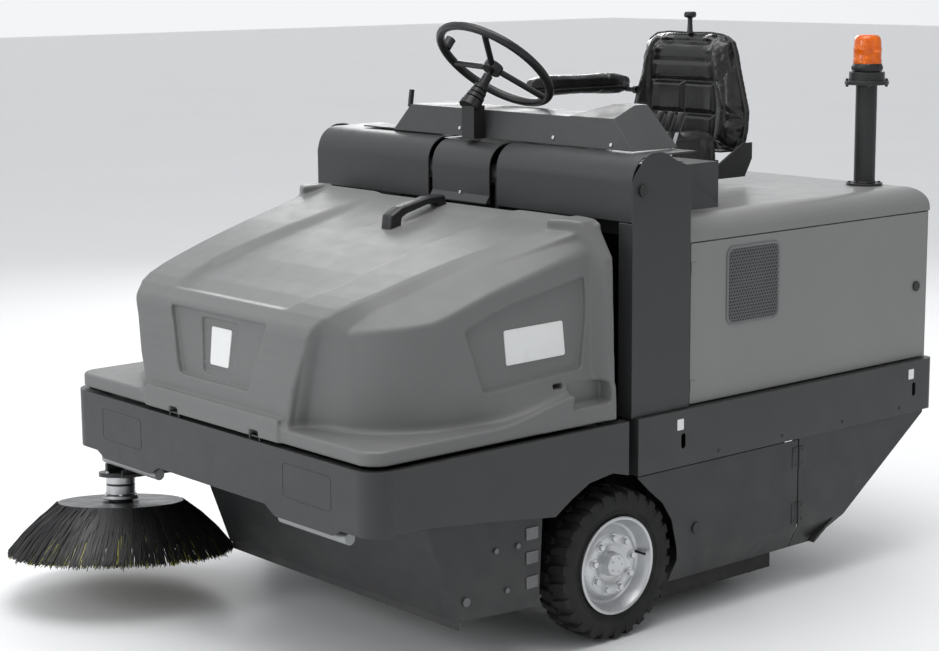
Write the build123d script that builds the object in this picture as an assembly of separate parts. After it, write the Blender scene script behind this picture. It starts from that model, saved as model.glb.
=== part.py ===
from build123d import *
import os
import math

# Ride-on sweeper with a high-lift debris hopper.
# Working frame (mm): X to the machine's left, Y rearwards from the front
# bumper's face, Z up from the ground, X = 0 on the machine's midplane.
# Every piece is moved by (-ORIGIN_X, -ORIGIN_Y, 0) when it is written, so that
# the part's own origin is the bottom centre of its box.
ORIGIN_X = -106.115
ORIGIN_Y = 1077.235

# ---- driving dimensions -------------------------------------------------
LENGTH = 2442.0          # front bumper face to the rear band
HALF_W = 786.0           # half width over the bumper bands
CORNER_R = 73.0          # front corner radius of the bumper band
BAND_TOP = 673.5
BAND_BOT = 497.0
GAP_F = 965.0            # rear end of the hopper's band
GAP_R = 1005.0           # front end of the chassis band
SHEET = 4.0              # sheet thickness of bands and panels

WHEEL_R = 232.5          # 5.00-8 tyre
WHEEL_W = 130.0
WHEEL_Y = 938.0
WHEEL_FACE = 772.0       # outer face of the front tyres
REAR_WHEEL_Y = 2040.0

LIFT_Y, LIFT_Z = 1032.0, 1354.0      # main lift pivot
LIFT_L = 664.0                       # lift arm length
LINK_DZ = -230.0                     # second link below the first

STEER_C = (0.0, 1134.0, 1692.0)      # centre of the steering wheel's rim
STEER_R = 200.0
STEER_RIM = 14.0
STEER_TILT = 39.9                    # rim plane's tilt, rear edge low

BRUSH_Y, BRUSH_Z = 1440.0, 205.0     # main brush axis
BRUSH_R = 180.0
BRUSH_HALF = 600.0

SB_C = (-658.0, 90.0, 310.0)         # side brush: top centre of its disc
SB_TILT = 8.1
SB_DIR = (-0.755, 0.656)             # low side of the tilted disc
SB_R_TOP, SB_R_BOT, SB_H = 200.0, 363.0, 174.0
SBP_Y, SBP_Z = 520.0, 430.0          # side brush arm's pivot

DOOR_X = 760.0           # engine door's outer face
HOOD_TOP = 1258.0        # rear hood's crown
COL_TOP = 1463.0


# ---- helpers --------------------------------------------------------------
def bx(x0, x1, y0, y1, z0, z1):
    return Pos((x0 + x1) / 2, (y0 + y1) / 2, (z0 + z1) / 2) * Box(x1 - x0, y1 - y0, z1 - z0)


def rounded(pts, radii):
    """Points of a closed polygon with each corner rounded by a tangent arc."""
    n = len(pts)
    if not isinstance(radii, (list, tuple)):
        radii = [radii] * n
    out = []
    for i in range(n):
        p0, p1, p2 = Vector(*pts[i - 1]), Vector(*pts[i]), Vector(*pts[(i + 1) % n])
        r = radii[i]
        if r <= 0:
            out.append(("p", p1))
            continue
        a, b = (p0 - p1).normalized(), (p2 - p1).normalized()
        ang = math.acos(max(-1, min(1, a.dot(b))))
        d = r / math.tan(ang / 2)
        bis = (a + b).normalized()
        c = p1 + bis * (r / math.sin(ang / 2))
        mid = c - bis * r
        out.append(("a", p1 + a * d, mid, p1 + b * d))
    return out


def closed_face(pts, radii, to3):
    items = rounded(pts, radii)
    edges = []
    prev = None
    first = None
    for it in items:
        start = it[1]
        if prev is not None and (start - prev).length > 1e-4:
            edges.append(Edge.make_line(to3(prev), to3(start)))
        if first is None:
            first = start
        if it[0] == "a":
            edges.append(Edge.make_three_point_arc(to3(it[1]), to3(it[2]), to3(it[3])))
            prev = it[3]
        else:
            prev = it[1]
    if (first - prev).length > 1e-4:
        edges.append(Edge.make_line(to3(prev), to3(first)))
    return Face(Wire(edges))


def prism_x(yz, x0, x1, r=0):
    f = closed_face(yz, r, lambda v: Vector(x0, v.X, v.Y))
    return Part() + Solid.extrude(f, Vector(x1 - x0, 0, 0))


def prism_y(xz, y0, y1, r=0):
    f = closed_face(xz, r, lambda v: Vector(v.X, y0, v.Y))
    return Part() + Solid.extrude(f, Vector(0, y1 - y0, 0))


def prism_z(xy, z0, z1, r=0):
    f = closed_face(xy, r, lambda v: Vector(v.X, v.Y, z0))
    return Part() + Solid.extrude(f, Vector(0, 0, z1 - z0))


def cyl_x(x0, x1, y, z, r):
    return Pos((x0 + x1) / 2, y, z) * Rot(0, 90, 0) * Cylinder(r, x1 - x0)


def cyl_y(y0, y1, x, z, r):
    return Pos(x, (y0 + y1) / 2, z) * Rot(90, 0, 0) * Cylinder(r, y1 - y0)


def cyl_z(z0, z1, x, y, r):
    return Pos(x, y, (z0 + z1) / 2) * Cylinder(r, z1 - z0)


def bar(p, q, r):
    """Round bar between two points."""
    a, b = Vector(*p), Vector(*q)
    pl = Plane(origin=a, z_dir=(b - a).normalized())
    return pl * Pos(0, 0, (b - a).length / 2) * Cylinder(r, (b - a).length)


def turned_x(rx, x_c, y_c, z_c, mirror_x=False):
    """Revolve a closed (radius, x) profile about an axis along X."""
    pts = [Vector((-x if mirror_x else x), 0, r) for r, x in rx]
    edges = [Edge.make_line(pts[i], pts[(i + 1) % len(pts)]) for i in range(len(pts))]
    f = Face(Wire(edges))
    s = revolve(f, axis=Axis.X, revolution_arc=360)
    return Pos(x_c, y_c, z_c) * s


def mirrored(s):
    return mirror(s, about=Plane.YZ)


def ring_plan(half_w, y0, y1, rad, t, z0, z1, rear=False):
    """U-shaped wall in plan, round front (or rear) corners, open at the other end."""
    if rear:
        o = prism_z([(-half_w, y0), (half_w, y0), (half_w, y1), (-half_w, y1)], z0, z1, [0, 0, rad, rad])
        i = prism_z([(-half_w + t, y0 - 10), (half_w - t, y0 - 10), (half_w - t, y1 - t), (-half_w + t, y1 - t)],
                    z0 - 1, z1 + 1, [0, 0, max(rad - t, 1), max(rad - t, 1)])
    else:
        o = prism_z([(-half_w, y0), (half_w, y0), (half_w, y1), (-half_w, y1)], z0, z1, [rad, rad, 0, 0])
        i = prism_z([(-half_w + t, y0 + t), (half_w - t, y0 + t), (half_w - t, y1 + 10), (-half_w + t, y1 + 10)],
                    z0 - 1, z1 + 1, [max(rad - t, 1), max(rad - t, 1), 0, 0])
    return o - i


P = {}

# =========================== CHASSIS =======================================
# Main frame: two rails, cross members, front legs that carry the wheel motors,
# lift towers inside the columns, and the plate that the steered fork hangs from.
frame = bx(-715, -665, 1085, 2330, 530, 610) + bx(665, 715, 1085, 2330, 530, 610)
frame += bx(-665, 665, 1085, 1145, 530, 610)
frame += bx(-665, 665, 1790, 1830, 530, 610)
frame += bx(-665, 665, 2290, 2330, 530, 610)
frame += bx(-170, 170, 1800, 2320, 512, 530) + bx(-170, -130, 1825, 2295, 530, 600) + bx(130, 170, 1825, 2295, 530, 600)
for s in (-1, 1):
    a, b = sorted((s * 625, s * 665))
    leg = prism_x([(1085, 610), (1085, 530), (1010, 330), (880, 262), (880, 150), (1000, 150), (1150, 340), (1150, 610)], 600, 622)
    frame += leg if s > 0 else mirrored(leg)
    a, b = sorted((s * 600, s * 700))
    frame += bx(a, b, 1085, 1145, 545, 600)
    a, b = sorted((s * 690, s * 743))
    frame += bx(a, b, 1085, 1145, 610, 1262)            # lift tower
frame += bx(-690, 690, 1110, 1145, 1200, 1250)          # upper cross tube
frame -= cyl_z(500, 540, 0, REAR_WHEEL_Y, 30.06)          # kingpin bore
P["main_frame"] = frame

# Rear band: sheet wall on three sides with a narrow top ledge
band = ring_plan(HALF_W, GAP_R, LENGTH, 30, SHEET, BAND_BOT + 1.5, BAND_TOP, rear=True)
ledge = ring_plan(HALF_W, GAP_R, LENGTH, 30, 42, BAND_TOP - SHEET, BAND_TOP, rear=True)
band += ledge
band += ring_plan(HALF_W, GAP_R, LENGTH, 30, 26, BAND_BOT + 1.5, BAND_BOT + 5.5, rear=True)
for s in (-1, 1):
    a, b = sorted((s * (HALF_W - 66), s * HALF_W))
    band += bx(a, b, GAP_R, GAP_R + SHEET, BAND_BOT + 1.5, BAND_TOP)     # front returns
    for y in (1200.0, 2335.0):
        slot = prism_x([(y - 10, 553), (y + 10, 553), (y + 10, 601), (y - 10, 601)],
                       s * 770 if s > 0 else -800, 800 if s > 0 else -770, 9.99)
        band -= slot
P["rear_band"] = band


def side_profile(x_out, z_top, z_bend, z_bot, drop):
    """Sheet that hangs vertically and bends inwards at its foot (XZ, one side)."""
    t = 3.0
    return [(x_out, z_top), (x_out, z_bend), (x_out - drop, z_bot), (x_out - drop - t, z_bot + 1.5),
            (x_out - t, z_bend + 0.8), (x_out - t, z_top)]


ARCH = [(1005, 420), (1005, 494), (1056, 446), (1116, 397), (1158, 334), (1181, 240), (1183, 100)]
PANEL_X = 781.0
# Fixed lower panels behind the brush doors
low = prism_y(side_profile(PANEL_X, 498, 203, 125, 40), 1748, 2392)
low -= prism_x([(1831, 100), (2393, 489), (2420, 489), (2420, 60), (1831, 60)], 600, 900)
low += prism_x([(1834, 132), (2386, 489), (2388, 492), (2380, 492), (1830, 137)], PANEL_X - 28, PANEL_X - 0.5)
low += bx(PANEL_X - 30, PANEL_X - 3, 1748, 1751, 210, 498)
for z0 in (215.0, 400.0):
    low += cyl_z(z0, z0 + 70, PANEL_X + 3.0, 1746.5, 4.2)
    low += bx(PANEL_X, PANEL_X + 2.4, 1748, 1776, z0, z0 + 70)
    for k in (12, 58):
        low += cyl_x(PANEL_X + 2.4, PANEL_X + 4.2, 1766, z0 + k, 5)
low_r = mirrored(low)
P["lower_panel_left"] = low
P["lower_panel_right"] = low_r

# Columns: side cheek with a front return, carrying the lift pivot
cheek_pts = [(991, 675), (1238, 675), (1238, 1412), (1175, 1434), (1120, COL_TOP), (1052, COL_TOP), (991, 1390)]
cheek = prism_x(cheek_pts, 766, 770, [0, 0, 22, 60, 90, 62, 50])
cheek += bx(712, 767, 991, 995, 675, 1258)
cheek += bx(740, 767, 1234, 1238, 675, 1240)
cheek -= cyl_x(760, 780, LIFT_Y, LIFT_Z, 18.05)
# rear gusset that runs from the column to the rear hood
gus = prism_x([(1238.5, 1268), (1238.5, 1400), (1262, 1385), (1432, 1276), (1432, 1268)], 700, 703)
cheek += gus + bx(700, 768, 1234, 1238, 1262, 1400)
P["column_left"] = cheek
P["column_right"] = mirrored(cheek)

# Cross covers over the lift shaft: two long ones and a shorter one between the arm slots
def cover(x0, x1, y_f, z_t, z_b):
    r, t, yb = 78.0, 4.0, 1262.0
    o = prism_x([(y_f, z_b), (y_f, z_t), (yb, z_t), (yb, z_t - 40), (y_f + 60, z_b)], x0, x1, [0, r, 0, 0, 0])
    i = prism_x([(y_f + t, z_b - 50), (y_f + t, z_t - t), (yb + 50, z_t - t), (yb + 50, z_b - 50)], x0 - 5, x1 + 5, [0, r - t, 0, 0])
    return o - i


cov = cover(168, 765.6, 991, 1457, 1262) + cover(-765.6, -168, 991, 1457, 1262)
cc = cover(-139, 139, 985, 1453, 1290)
cc += prism_x([(985, 1290), (970, 1268), (970, 1264), (989, 1264), (989, 1290)], -139, 139)
for xs in (165.5, 167.9):
    pass
cov += cc
P["cross_covers"] = cov

# Console cowl: folded sheet cover in front of the driver, higher on the left
cowl_o = prism_y([(-440, 1461.5), (-366, 1550), (400, 1550), (470, 1585), (560, 1585), (690, 1461.5)], 1066, 1262)
slope = prism_x([(1040, 1461.4), (1066, 1461.4), (1084, 1552), (1262, 1600), (1262, 1700), (1040, 1700)], -800, 800)
cowl_o = cowl_o - slope
cowl_i = prism_y([(-434, 1455), (-363, 1546), (401, 1546), (471, 1581), (558, 1581), (684, 1455)], 1072, 1290)
slope_i = prism_x([(1040, 1455), (1071, 1455), (1089, 1547), (1290, 1597), (1290, 1700), (1040, 1700)], -800, 800)
cowl = cowl_o - (cowl_i - slope_i)
cowl += bx(-620, -440, 1080, 1200, 1461.5, 1466)
P["console_cowl"] = cowl

# Lever console beside the driver, with slots for the hydraulic levers
lev = bx(400, 640, 1264, 1500, 1262, 1400)
lev -= bx(404, 636, 1268, 1496, 1250, 1396)
for x in (470, 515, 560):
    lev -= bx(x - 8, x + 8, 1296, 1430, 1390, 1410)
P["console_cowl"] = cowl + lev

# Instrument panel facing the driver
ip = prism_x([(1266, 1470), (1262.4, 1478), (1262.4, 1542), (1268, 1542), (1272, 1474)], -360, 395)
ip += cyl_y(1266, 1278, -180, 1508, 24) + bx(-60, 90, 1266, 1274, 1486, 1530)
P["instrument_panel"] = ip

# Steering column: bellows and tube below the steering wheel's hub
ax = Vector(0, math.sin(math.radians(STEER_TILT)), math.cos(math.radians(STEER_TILT)))
hub = Vector(*STEER_C)
def along(d):
    v = hub + ax * d
    return (v.X, v.Y, v.Z)
col = bar(along(-172), along(-45), 16)
for d, r in ((-150, 33), (-132, 30), (-114, 27), (-96, 24)):
    col += bar(along(d - 6), along(d + 6), r)
col += bar(along(-172), along(-156), 36)
col += bx(-30, 30, 1018, 1064, 1461.5, 1566)
col += bar(along(-45), along(-24), 9)
P["steering_column"] = col

# Footwell: floor, walls and the step on the machine's right side
foot = bx(-742, 320, 1266, 1640, 836, 840)
foot += bx(316, 320, 1266, 1640, 840, 1240) + bx(-700, 320, 1266, 1270, 840, 1262)
foot += bx(-742, 320, 1636, 1640, 840, 1240)
foot += bx(-742, -738, 1266, 1640, 678, 840) + bx(-742, -640, 1266, 1640, 676, 680)
P["footwell_tub"] = foot

# Rear hood: lid over the engine bay with a step for the footwell, and the rear wall
def hood_solid(o, z0, z1):
    return prism_y([(-757 + o, z0), (757 - o, z0), (757 - o, z1), (-757 + o, z1)], 1244, 2432 - o, [0, 0, 74 - o, 74 - o])
rh = hood_solid(0, 1178, HOOD_TOP)
rear_round = prism_x([(1200, 1100), (2432, 1100), (2432, HOOD_TOP), (1200, HOOD_TOP)], -800, 800, [0, 0, 60, 0])
rh = rh & rear_round
rh_i = hood_solid(4, 1170, HOOD_TOP - 4) & prism_x([(1200, 1100), (2428, 1100), (2428, HOOD_TOP - 4), (1200, HOOD_TOP - 4)], -800, 800, [0, 0, 56, 0])
rh = rh - rh_i
rh -= bx(-800, 322, 1200, 1642, 1100, 1300)          # footwell opening
rh -= bx(322, 800, 1200, 1246, 1100, 1300)
rh += bx(-757, 322, 1642, 1646, 1178, HOOD_TOP - 30)
rh += bx(-752, 752, 2426, 2431, 676, 1180)            # rear wall
P["rear_hood"] = rh

# Engine bay contents
eng = bx(60, 420, 1720, 2080, 640, 1010) + bx(110, 370, 1760, 2040, 1010, 1120) + cyl_x(420, 450, 1900, 820, 110)
eng += cyl_x(470, 640, 1620, 960, 12) + bx(640, 700, 1450, 1780, 800, 1120) + cyl_x(470, 636, 1620, 960, 150)
tanks = prism_z([(-700, 1700), (-400, 1700), (-400, 2250), (-700, 2250)], 640, 1120, 40) - prism_z([(-692, 1708), (-408, 1708), (-408, 2242), (-692, 2242)], 648, 1112, 32)
tanks += cyl_z(1120, 1150, -550, 1900, 45)
tanks += prism_z([(-340, 1700), (-80, 1700), (-80, 2000), (-340, 2000)], 640, 1000, 20) + cyl_z(1000, 1030, -210, 1850, 35)
P["fuel_and_oil_tanks"] = tanks
bat = bx(-340, -70, 2060, 2240, 640, 850) + cyl_z(850, 866, -310, 2090, 9) + cyl_z(850, 866, -100, 2090, 9)
P["battery"] = bat
pump = cyl_y(2100, 2260, 240, 800, 70) + cyl_y(2080, 2100, 240, 800, 40) + bx(180, 300, 2110, 2180, 640, 740)
pump += cyl_z(870, 1080, 600, 2150, 85) + bx(560, 640, 2100, 2200, 640, 870)
P["engine_and_hydraulics"] = eng + pump
deck = bx(-712, 712, 1660, 2420, 632, 638) + bx(-712, -330, 1150, 1660, 632, 638) + bx(330, 712, 1150, 1660, 632, 638)
deck += bx(-330, 330, 1150, 1660, 632, 638)
P["main_frame"] = P["main_frame"] + deck

# Beacon: pole on the rear hood, mounting plate, ring and dome
pole = cyl_z(HOOD_TOP, HOOD_TOP + 8, 563, 2320, 62) + cyl_z(HOOD_TOP + 8, 1600, 563, 2320, 36)
pole += cyl_z(1600, 1612, 563, 2320, 74) + cyl_z(1612, 1642, 563, 2320, 60)
for k in range(4):
    a = math.radians(45 + 90 * k)
    pole += cyl_z(1592, 1620, 563 + 66 * math.cos(a), 2320 + 66 * math.sin(a), 5)
    pole += cyl_z(HOOD_TOP + 8, HOOD_TOP + 13, 563 + 50 * math.cos(a), 2320 + 50 * math.sin(a), 5)
P["beacon_pole"] = pole
lens = cyl_z(1642, 1768, 563, 2320, 52)
lens = fillet(lens.edges().filter_by(GeomType.CIRCLE).sort_by(Axis.Z)[-1], 12)
lens -= cyl_z(1641, 1758, 563, 2320, 47)
lens += cyl_z(1642, 1700, 563, 2320, 12)
P["beacon_lens"] = lens

# Front wheel motors on the frame's legs, with the wheel shafts
wm = cyl_x(622, 668, WHEEL_Y, WHEEL_R, 62) + cyl_x(668, 704, WHEEL_Y, WHEEL_R, 20)
P["wheel_motors"] = wm + mirrored(wm)

# Rubber skirts round the main brush
sk = bx(700, 706, 1190, 1700, 62, 215) + bx(-706, -700, 1190, 1700, 62, 215)
sk += bx(-640, 640, 1676, 1682, 30, 211)
P["rubber_skirts"] = sk

# Brush housing: half-round tunnel over the main brush and its throat to the hopper
hs = prism_x([(1182, 215), (1182, 470), (1250, 520), (1630, 520), (1690, 460), (1690, 215)], -648, 648)
hs -= prism_x([(1186, 200), (1186, 467), (1251, 516), (1629, 516), (1686, 457), (1686, 200)], -644, 644)
hs -= bx(-560, 560, 1170, 1190, 200, 440)
hs += bx(-560, 560, 1080, 1182, 440, 444)
for s in (-1, 1):
    a, b = sorted((s * 648, s * 700))
    hs += bx(a, b, 1190, 1680, 216, 220)
hs += bx(-640, 640, 1676, 1690, 211, 215)
hs -= cyl_x(-660, -630, 1640, 310, 10.06) + cyl_x(630, 660, 1640, 310, 10.06)
P["brush_housing"] = hs

# ---- doors -----------------------------------------------------------------
def engine_door(y0, y1):
    d = bx(DOOR_X - 3, DOOR_X, y0, y1, 679, 1175)
    d += bx(DOOR_X - 22, DOOR_X - 3, y0, y0 + 3, 679, 1175) + bx(DOOR_X - 22, DOOR_X - 3, y1 - 3, y1, 679, 1175)
    d += bx(DOOR_X - 22, DOOR_X - 3, y0 + 3, y1 - 3, 679, 682) + bx(DOOR_X - 22, DOOR_X - 3, y0 + 3, y1 - 3, 1172, 1175)
    return d


dl = engine_door(1252, 2420)
dl -= cyl_x(DOOR_X - 30, DOOR_X + 5, 2362, 925, 12.05)
for z in (735.0, 1100.0):
    dl += bx(DOOR_X, DOOR_X + 2, 1252.5, 1276, z - 18, z + 18)
P["engine_door_left"] = dl
gr = prism_x([(1412, 905), (1657, 905), (1657, 1150), (1412, 1150)], DOOR_X + 0.0, DOOR_X + 2.0, 28)
P["engine_door_left"] = dl + gr
dr = engine_door(1652, 2420)
dr -= cyl_x(DOOR_X - 30, DOOR_X + 5, 2362, 925, 12.05)
for z in (735.0, 1100.0):
    dr += bx(DOOR_X, DOOR_X + 2, 1652.5, 1676, z - 18, z + 18)
P["engine_door_right"] = mirrored(dr)
lk = cyl_x(DOOR_X - 24, DOOR_X + 1, 2362, 925, 12) + cyl_x(DOOR_X + 0.6, DOOR_X + 5, 2362, 925, 17)
lk += bx(DOOR_X - 28, DOOR_X - 24, 2350, 2412, 917, 933)
P["door_lock_left"] = lk
P["door_lock_right"] = mirrored(lk)

bd = prism_y(side_profile(PANEL_X, 494, 203, 125, 40), 1004, 1742)
bd -= prism_x([(990, 60), (990, 500)] + ARCH[1:] + [(1183, 60)], 600, 900)
bd -= cyl_x(770, 790, 1266, 290, 10.05)
for z0 in (215.0, 400.0):
    bd += bx(PANEL_X, PANEL_X + 2.4, 1716, 1741.5, z0 + 1, z0 + 69)
    for k in (12, 58):
        bd += cyl_x(PANEL_X + 2.4, PANEL_X + 4.2, 1729, z0 + k, 5)
P["brush_door_left"] = bd
P["brush_door_right"] = mirrored(bd)
kn = cyl_x(764, 782, 1266, 290, 10) + cyl_x(781.6, 785.6, 1266, 290, 19) + bx(760, 764, 1260, 1272, 262, 306)
P["brush_door_latch_left"] = kn
P["brush_door_latch_right"] = mirrored(kn)

# ---- seat ------------------------------------------------------------------
SEAT_Y = 1510.0
base = bx(-190, 190, 1660, 1960, HOOD_TOP + 1.0, HOOD_TOP + 9) + bx(-200, 200, 1640, 1990, 1296, 1310)
base += bx(-180, -150, 1665, 1955, HOOD_TOP + 9, 1296) + bx(150, 180, 1665, 1955, HOOD_TOP + 9, 1296)
for s in (-1, 1):
    a, b = sorted((s * 262, s * 270))
    base += prism_x([(1900, 1285), (2040, 1285), (2075, 1345), (2075, 1400), (2030, 1400), (1900, 1330)], a, b)
    a, b = sorted((s * 200, s * 262))
    base += bx(a, b, 1900, 1990, 1297, 1309)
    base += cyl_x(min(s * 241, s * 262), max(s * 241, s * 262), 2040, 1372, 8)
P["seat_base"] = base
rails = bx(-260, -150, 1646, 1990, HOOD_TOP - 0.0, HOOD_TOP + 0.6)
cush = prism_x([(1520, 1330), (1540, 1440), (1600, 1452), (1960, 1432), (1960, 1314), (1560, 1312)], -245, 245, [14, 30, 30, 20, 10, 20])
P["seat_cushion"] = cush
back = prism_y([(-262, 1345), (262, 1345), (280, 1520), (215, 1755), (170, 1786), (-170, 1786), (-215, 1755), (-280, 1520)], 2000, 2085,
               [40, 40, 60, 40, 30, 30, 40, 60])
back -= bx(-290, -249, 1990, 2100, 1330, 1412) + bx(249, 290, 1990, 2100, 1330, 1412)
for s in (-1, 1):
    a, b = sorted((s * 240, s * 250))
    back += cyl_x(min(s * 238, s * 249), max(s * 238, s * 249), 2040, 1372, 20)
for s in (-1, 1):
    back -= cyl_x(min(s * 236, s * 251), max(s * 236, s * 251), 2040, 1372, 8.06)
back += cyl_z(1780, 1822, 0, 2045, 9) + cyl_z(1822, 1842, 0, 2045, 22)
back += cyl_x(-296, -262, 2030, 1560, 9)
P["seat_backrest"] = back
arm = prism_x([(1520, 1556), (1620, 1546), (2020, 1540), (2050, 1560), (2050, 1590), (1960, 1612), (1600, 1630), (1530, 1616)], -325, -285,
              [20, 30, 20, 14, 14, 20, 30, 24])
arm -= cyl_x(-330, -280, 2030, 1560, 9.05)
P["armrest"] = arm

# ---- controls --------------------------------------------------------------
def lever(x):
    g = bar((x, 1357, 1402), (x, 1397, 1495), 5.5) + bar((x, 1396, 1493), (x, 1418, 1548), 9.5)
    g += bar((x, 1340, 1362), (x, 1357, 1402), 5.5) + cyl_x(x - 7, x + 7, 1340, 1362, 9)
    return g


P["lever_hopper_lift"] = lever(470)
P["lever_hopper_flap"] = lever(515)
P["lever_brush_lift"] = lever(560)
sl = bar((-454, 1140, 1476), (-452, 1150, 1536), 5) + bar((-452, 1149.6, 1534), (-450, 1156, 1592), 9) + cyl_x(-462, -446, 1140, 1476, 8.5)
P["side_lever"] = sl


def pedal(x0, x1, fwd):
    p = prism_x([(1440, 850), (1430, 846), (1320, 900), (1324, 909)], x0, x1)
    p += cyl_x(x0 + 5, x1 - 5, 1437, 851, 8)
    return p


P["drive_pedal"] = pedal(180, 250, 1)
P["brake_pedal"] = pedal(-120, -40, 1)

# Steering wheel: rim, three spokes, hub and spinner knob, in its tilted plane
wp = Plane(origin=hub, x_dir=(1, 0, 0), z_dir=ax)
sw = wp * Torus(STEER_R, STEER_RIM)
sw += wp * Pos(0, 0, -14) * Cylinder(32, 26)
for a in (60, 180, 300):
    ca, sa = math.cos(math.radians(a)), math.sin(math.radians(a))
    pp, qq = Vector(20 * ca, 20 * sa, -12), Vector((STEER_R - 3) * ca, (STEER_R - 3) * sa, -1)
    sw += wp * bar((pp.X, pp.Y, pp.Z), (qq.X, qq.Y, qq.Z), 10)
ka = math.radians(200)
sw += wp * Pos(STEER_R * math.cos(ka), STEER_R * math.sin(ka), 26) * Cylinder(17, 36)
sw -= bar(along(-30), along(-12), 9.05)
P["steering_wheel"] = sw

# ---- wheels ----------------------------------------------------------------
def tyre_profile(w, R, ri):
    h = w / 2
    return [(ri, -h + 14), (ri + 10, -h + 4), (R - 38, -h), (R - 12, -h + 4), (R - 3, -h + 16), (R, -h + 30),
            (R, h - 30), (R - 3, h - 16), (R - 12, h - 4), (R - 38, h), (ri + 10, h - 4), (ri, h - 14)]


def rim_profile(w, ri):
    h = w / 2
    return [(ri, -h + 14), (ri, h - 14), (ri - 4, h - 6), (ri - 16, h - 9), (ri - 18, h - 34), (ri - 40, h - 50), (34, h - 50), (30, h - 40),
            (0, h - 40), (0, h - 64), (20.06, h - 64), (20.06, h - 96), (60, h - 96), (60, h - 58), (ri - 44, h - 58), (ri - 22, h - 40), (ri - 20, -h + 16)]


RIM_R = 146.0
xc = WHEEL_FACE - WHEEL_W / 2
ty = turned_x(tyre_profile(WHEEL_W, WHEEL_R, RIM_R), xc, WHEEL_Y, WHEEL_R)
rm = turned_x(rim_profile(WHEEL_W, RIM_R), xc, WHEEL_Y, WHEEL_R)
for k in range(8):
    a = 2 * math.pi * k / 8
    rm += cyl_x(xc + 14, xc + 32, WHEEL_Y + 48 * math.cos(a), WHEEL_R + 48 * math.sin(a), 8)
P["tyre_front_left"] = ty
P["rim_front_left"] = rm
P["tyre_front_right"] = mirrored(ty)
P["rim_front_right"] = mirrored(rm)

# Steered rear fork and its wheel
fork = cyl_z(482, 508, 0, REAR_WHEEL_Y, 120) + cyl_z(508, 528, 0, REAR_WHEEL_Y, 30)
fork += bx(-92, -78, 1990, 2090, 190, 482) + bx(78, 92, 1990, 2090, 190, 482)
fork += bx(-92, 92, 1990, 2090, 476, 484)
fork += cyl_x(-78, 78, REAR_WHEEL_Y, WHEEL_R, 20)
P["rear_fork"] = fork
rw = turned_x([(20.06, -50), (60, -50), (60, -20), (128, -20), (128, -52), (146, -52), (146, 52), (128, 52), (128, 20), (60, 20), (60, 50), (20.06, 50)],
              0, REAR_WHEEL_Y, WHEEL_R)
rt = turned_x(tyre_profile(WHEEL_W, WHEEL_R, 146.0), 0, REAR_WHEEL_Y, WHEEL_R)
P["rear_wheel"] = Compound(children=[rw.solids()[0], rt.solids()[0]])

# ---- main brush --------------------------------------------------------------
bf = prism_x([(1400, 170), (1480, 170), (1660, 290), (1660, 330), (1620, 330), (1400, 240)], 622, 634)
bf += mirrored(bf)
bf += bx(-622, 622, 1640, 1660, 300, 330)
bf += cyl_x(604, 622, BRUSH_Y, BRUSH_Z, 24) + cyl_x(-622, -604, BRUSH_Y, BRUSH_Z, 24)
bf += cyl_x(585, 604, BRUSH_Y, BRUSH_Z, 14) + cyl_x(-604, -585, BRUSH_Y, BRUSH_Z, 14)
for s in (-1, 1):
    bf += cyl_x(min(s * 634, s * 646), max(s * 634, s * 646), 1640, 310, 10)
P["brush_frame"] = bf
mb = cyl_x(-600, 600, BRUSH_Y, BRUSH_Z, BRUSH_R) - cyl_x(-570, 570, BRUSH_Y, BRUSH_Z, BRUSH_R - 26) - cyl_x(-601, -580, BRUSH_Y, BRUSH_Z, 14.06) - cyl_x(580, 601, BRUSH_Y, BRUSH_Z, 14.06)
P["main_brush"] = mb

# =========================== LIFT LINKAGE ====================================
la = Part()
la += cyl_x(-758, 758, LIFT_Y, LIFT_Z, 34) + cyl_x(-778, -758, LIFT_Y, LIFT_Z, 18) + cyl_x(758, 778, LIFT_Y, LIFT_Z, 18)
for s in (-1, 1):
    a, b = sorted((s * 146, s * 162))
    la += prism_x([(1004, LIFT_Z), (1004, LIFT_Z - LIFT_L), (1032, LIFT_Z - LIFT_L - 28), (1060, LIFT_Z - LIFT_L), (1060, LIFT_Z), (1032, LIFT_Z + 28)],
                  a, b, [24, 10, 24, 10, 24, 24]) - cyl_x(a - 1, b + 1, LIFT_Y, LIFT_Z - LIFT_L, 14.06)
P["lift_arms"] = la
pk = Part()
for s in (-1, 1):
    a, b = sorted((s * 94, s * 106))
    z1 = LIFT_Z + LINK_DZ
    pk += prism_x([(1010, z1), (1010, z1 - LIFT_L), (1032, z1 - LIFT_L - 22), (1054, z1 - LIFT_L), (1054, z1), (1032, z1 + 22)],
                  a, b, [18, 8, 18, 8, 18, 18]) - cyl_x(a - 1, b + 1, LIFT_Y, z1, 12.06) - cyl_x(a - 1, b + 1, LIFT_Y, z1 - LIFT_L, 13.0)
pk += bx(-94, 94, 1040, 1054, 700, 740)
P["parallel_links"] = pk
# pins and brackets that hold the parallel links, on the frame
br = Part()
for s in (-1, 1):
    a, b = sorted((s * 112, s * 122))
    br += prism_x([(1014, 1104), (1014, 1144), (1110, 1200), (1110, 1080)], a, b)
    br += cyl_x(min(s * 90, s * 112), max(s * 90, s * 112), LIFT_Y, LIFT_Z + LINK_DZ, 12)
P["main_frame"] = P["main_frame"] + br + bx(-122, 122, 1100, 1110, 1080, 1250)

# =========================== HOPPER ==========================================
# Bumper band round the front of the hopper
hb = ring_plan(HALF_W, 0, GAP_F, CORNER_R, SHEET, 425, BAND_TOP)
hb += ring_plan(HALF_W, 0, GAP_F, CORNER_R, 30, BAND_TOP - SHEET, BAND_TOP)
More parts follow.
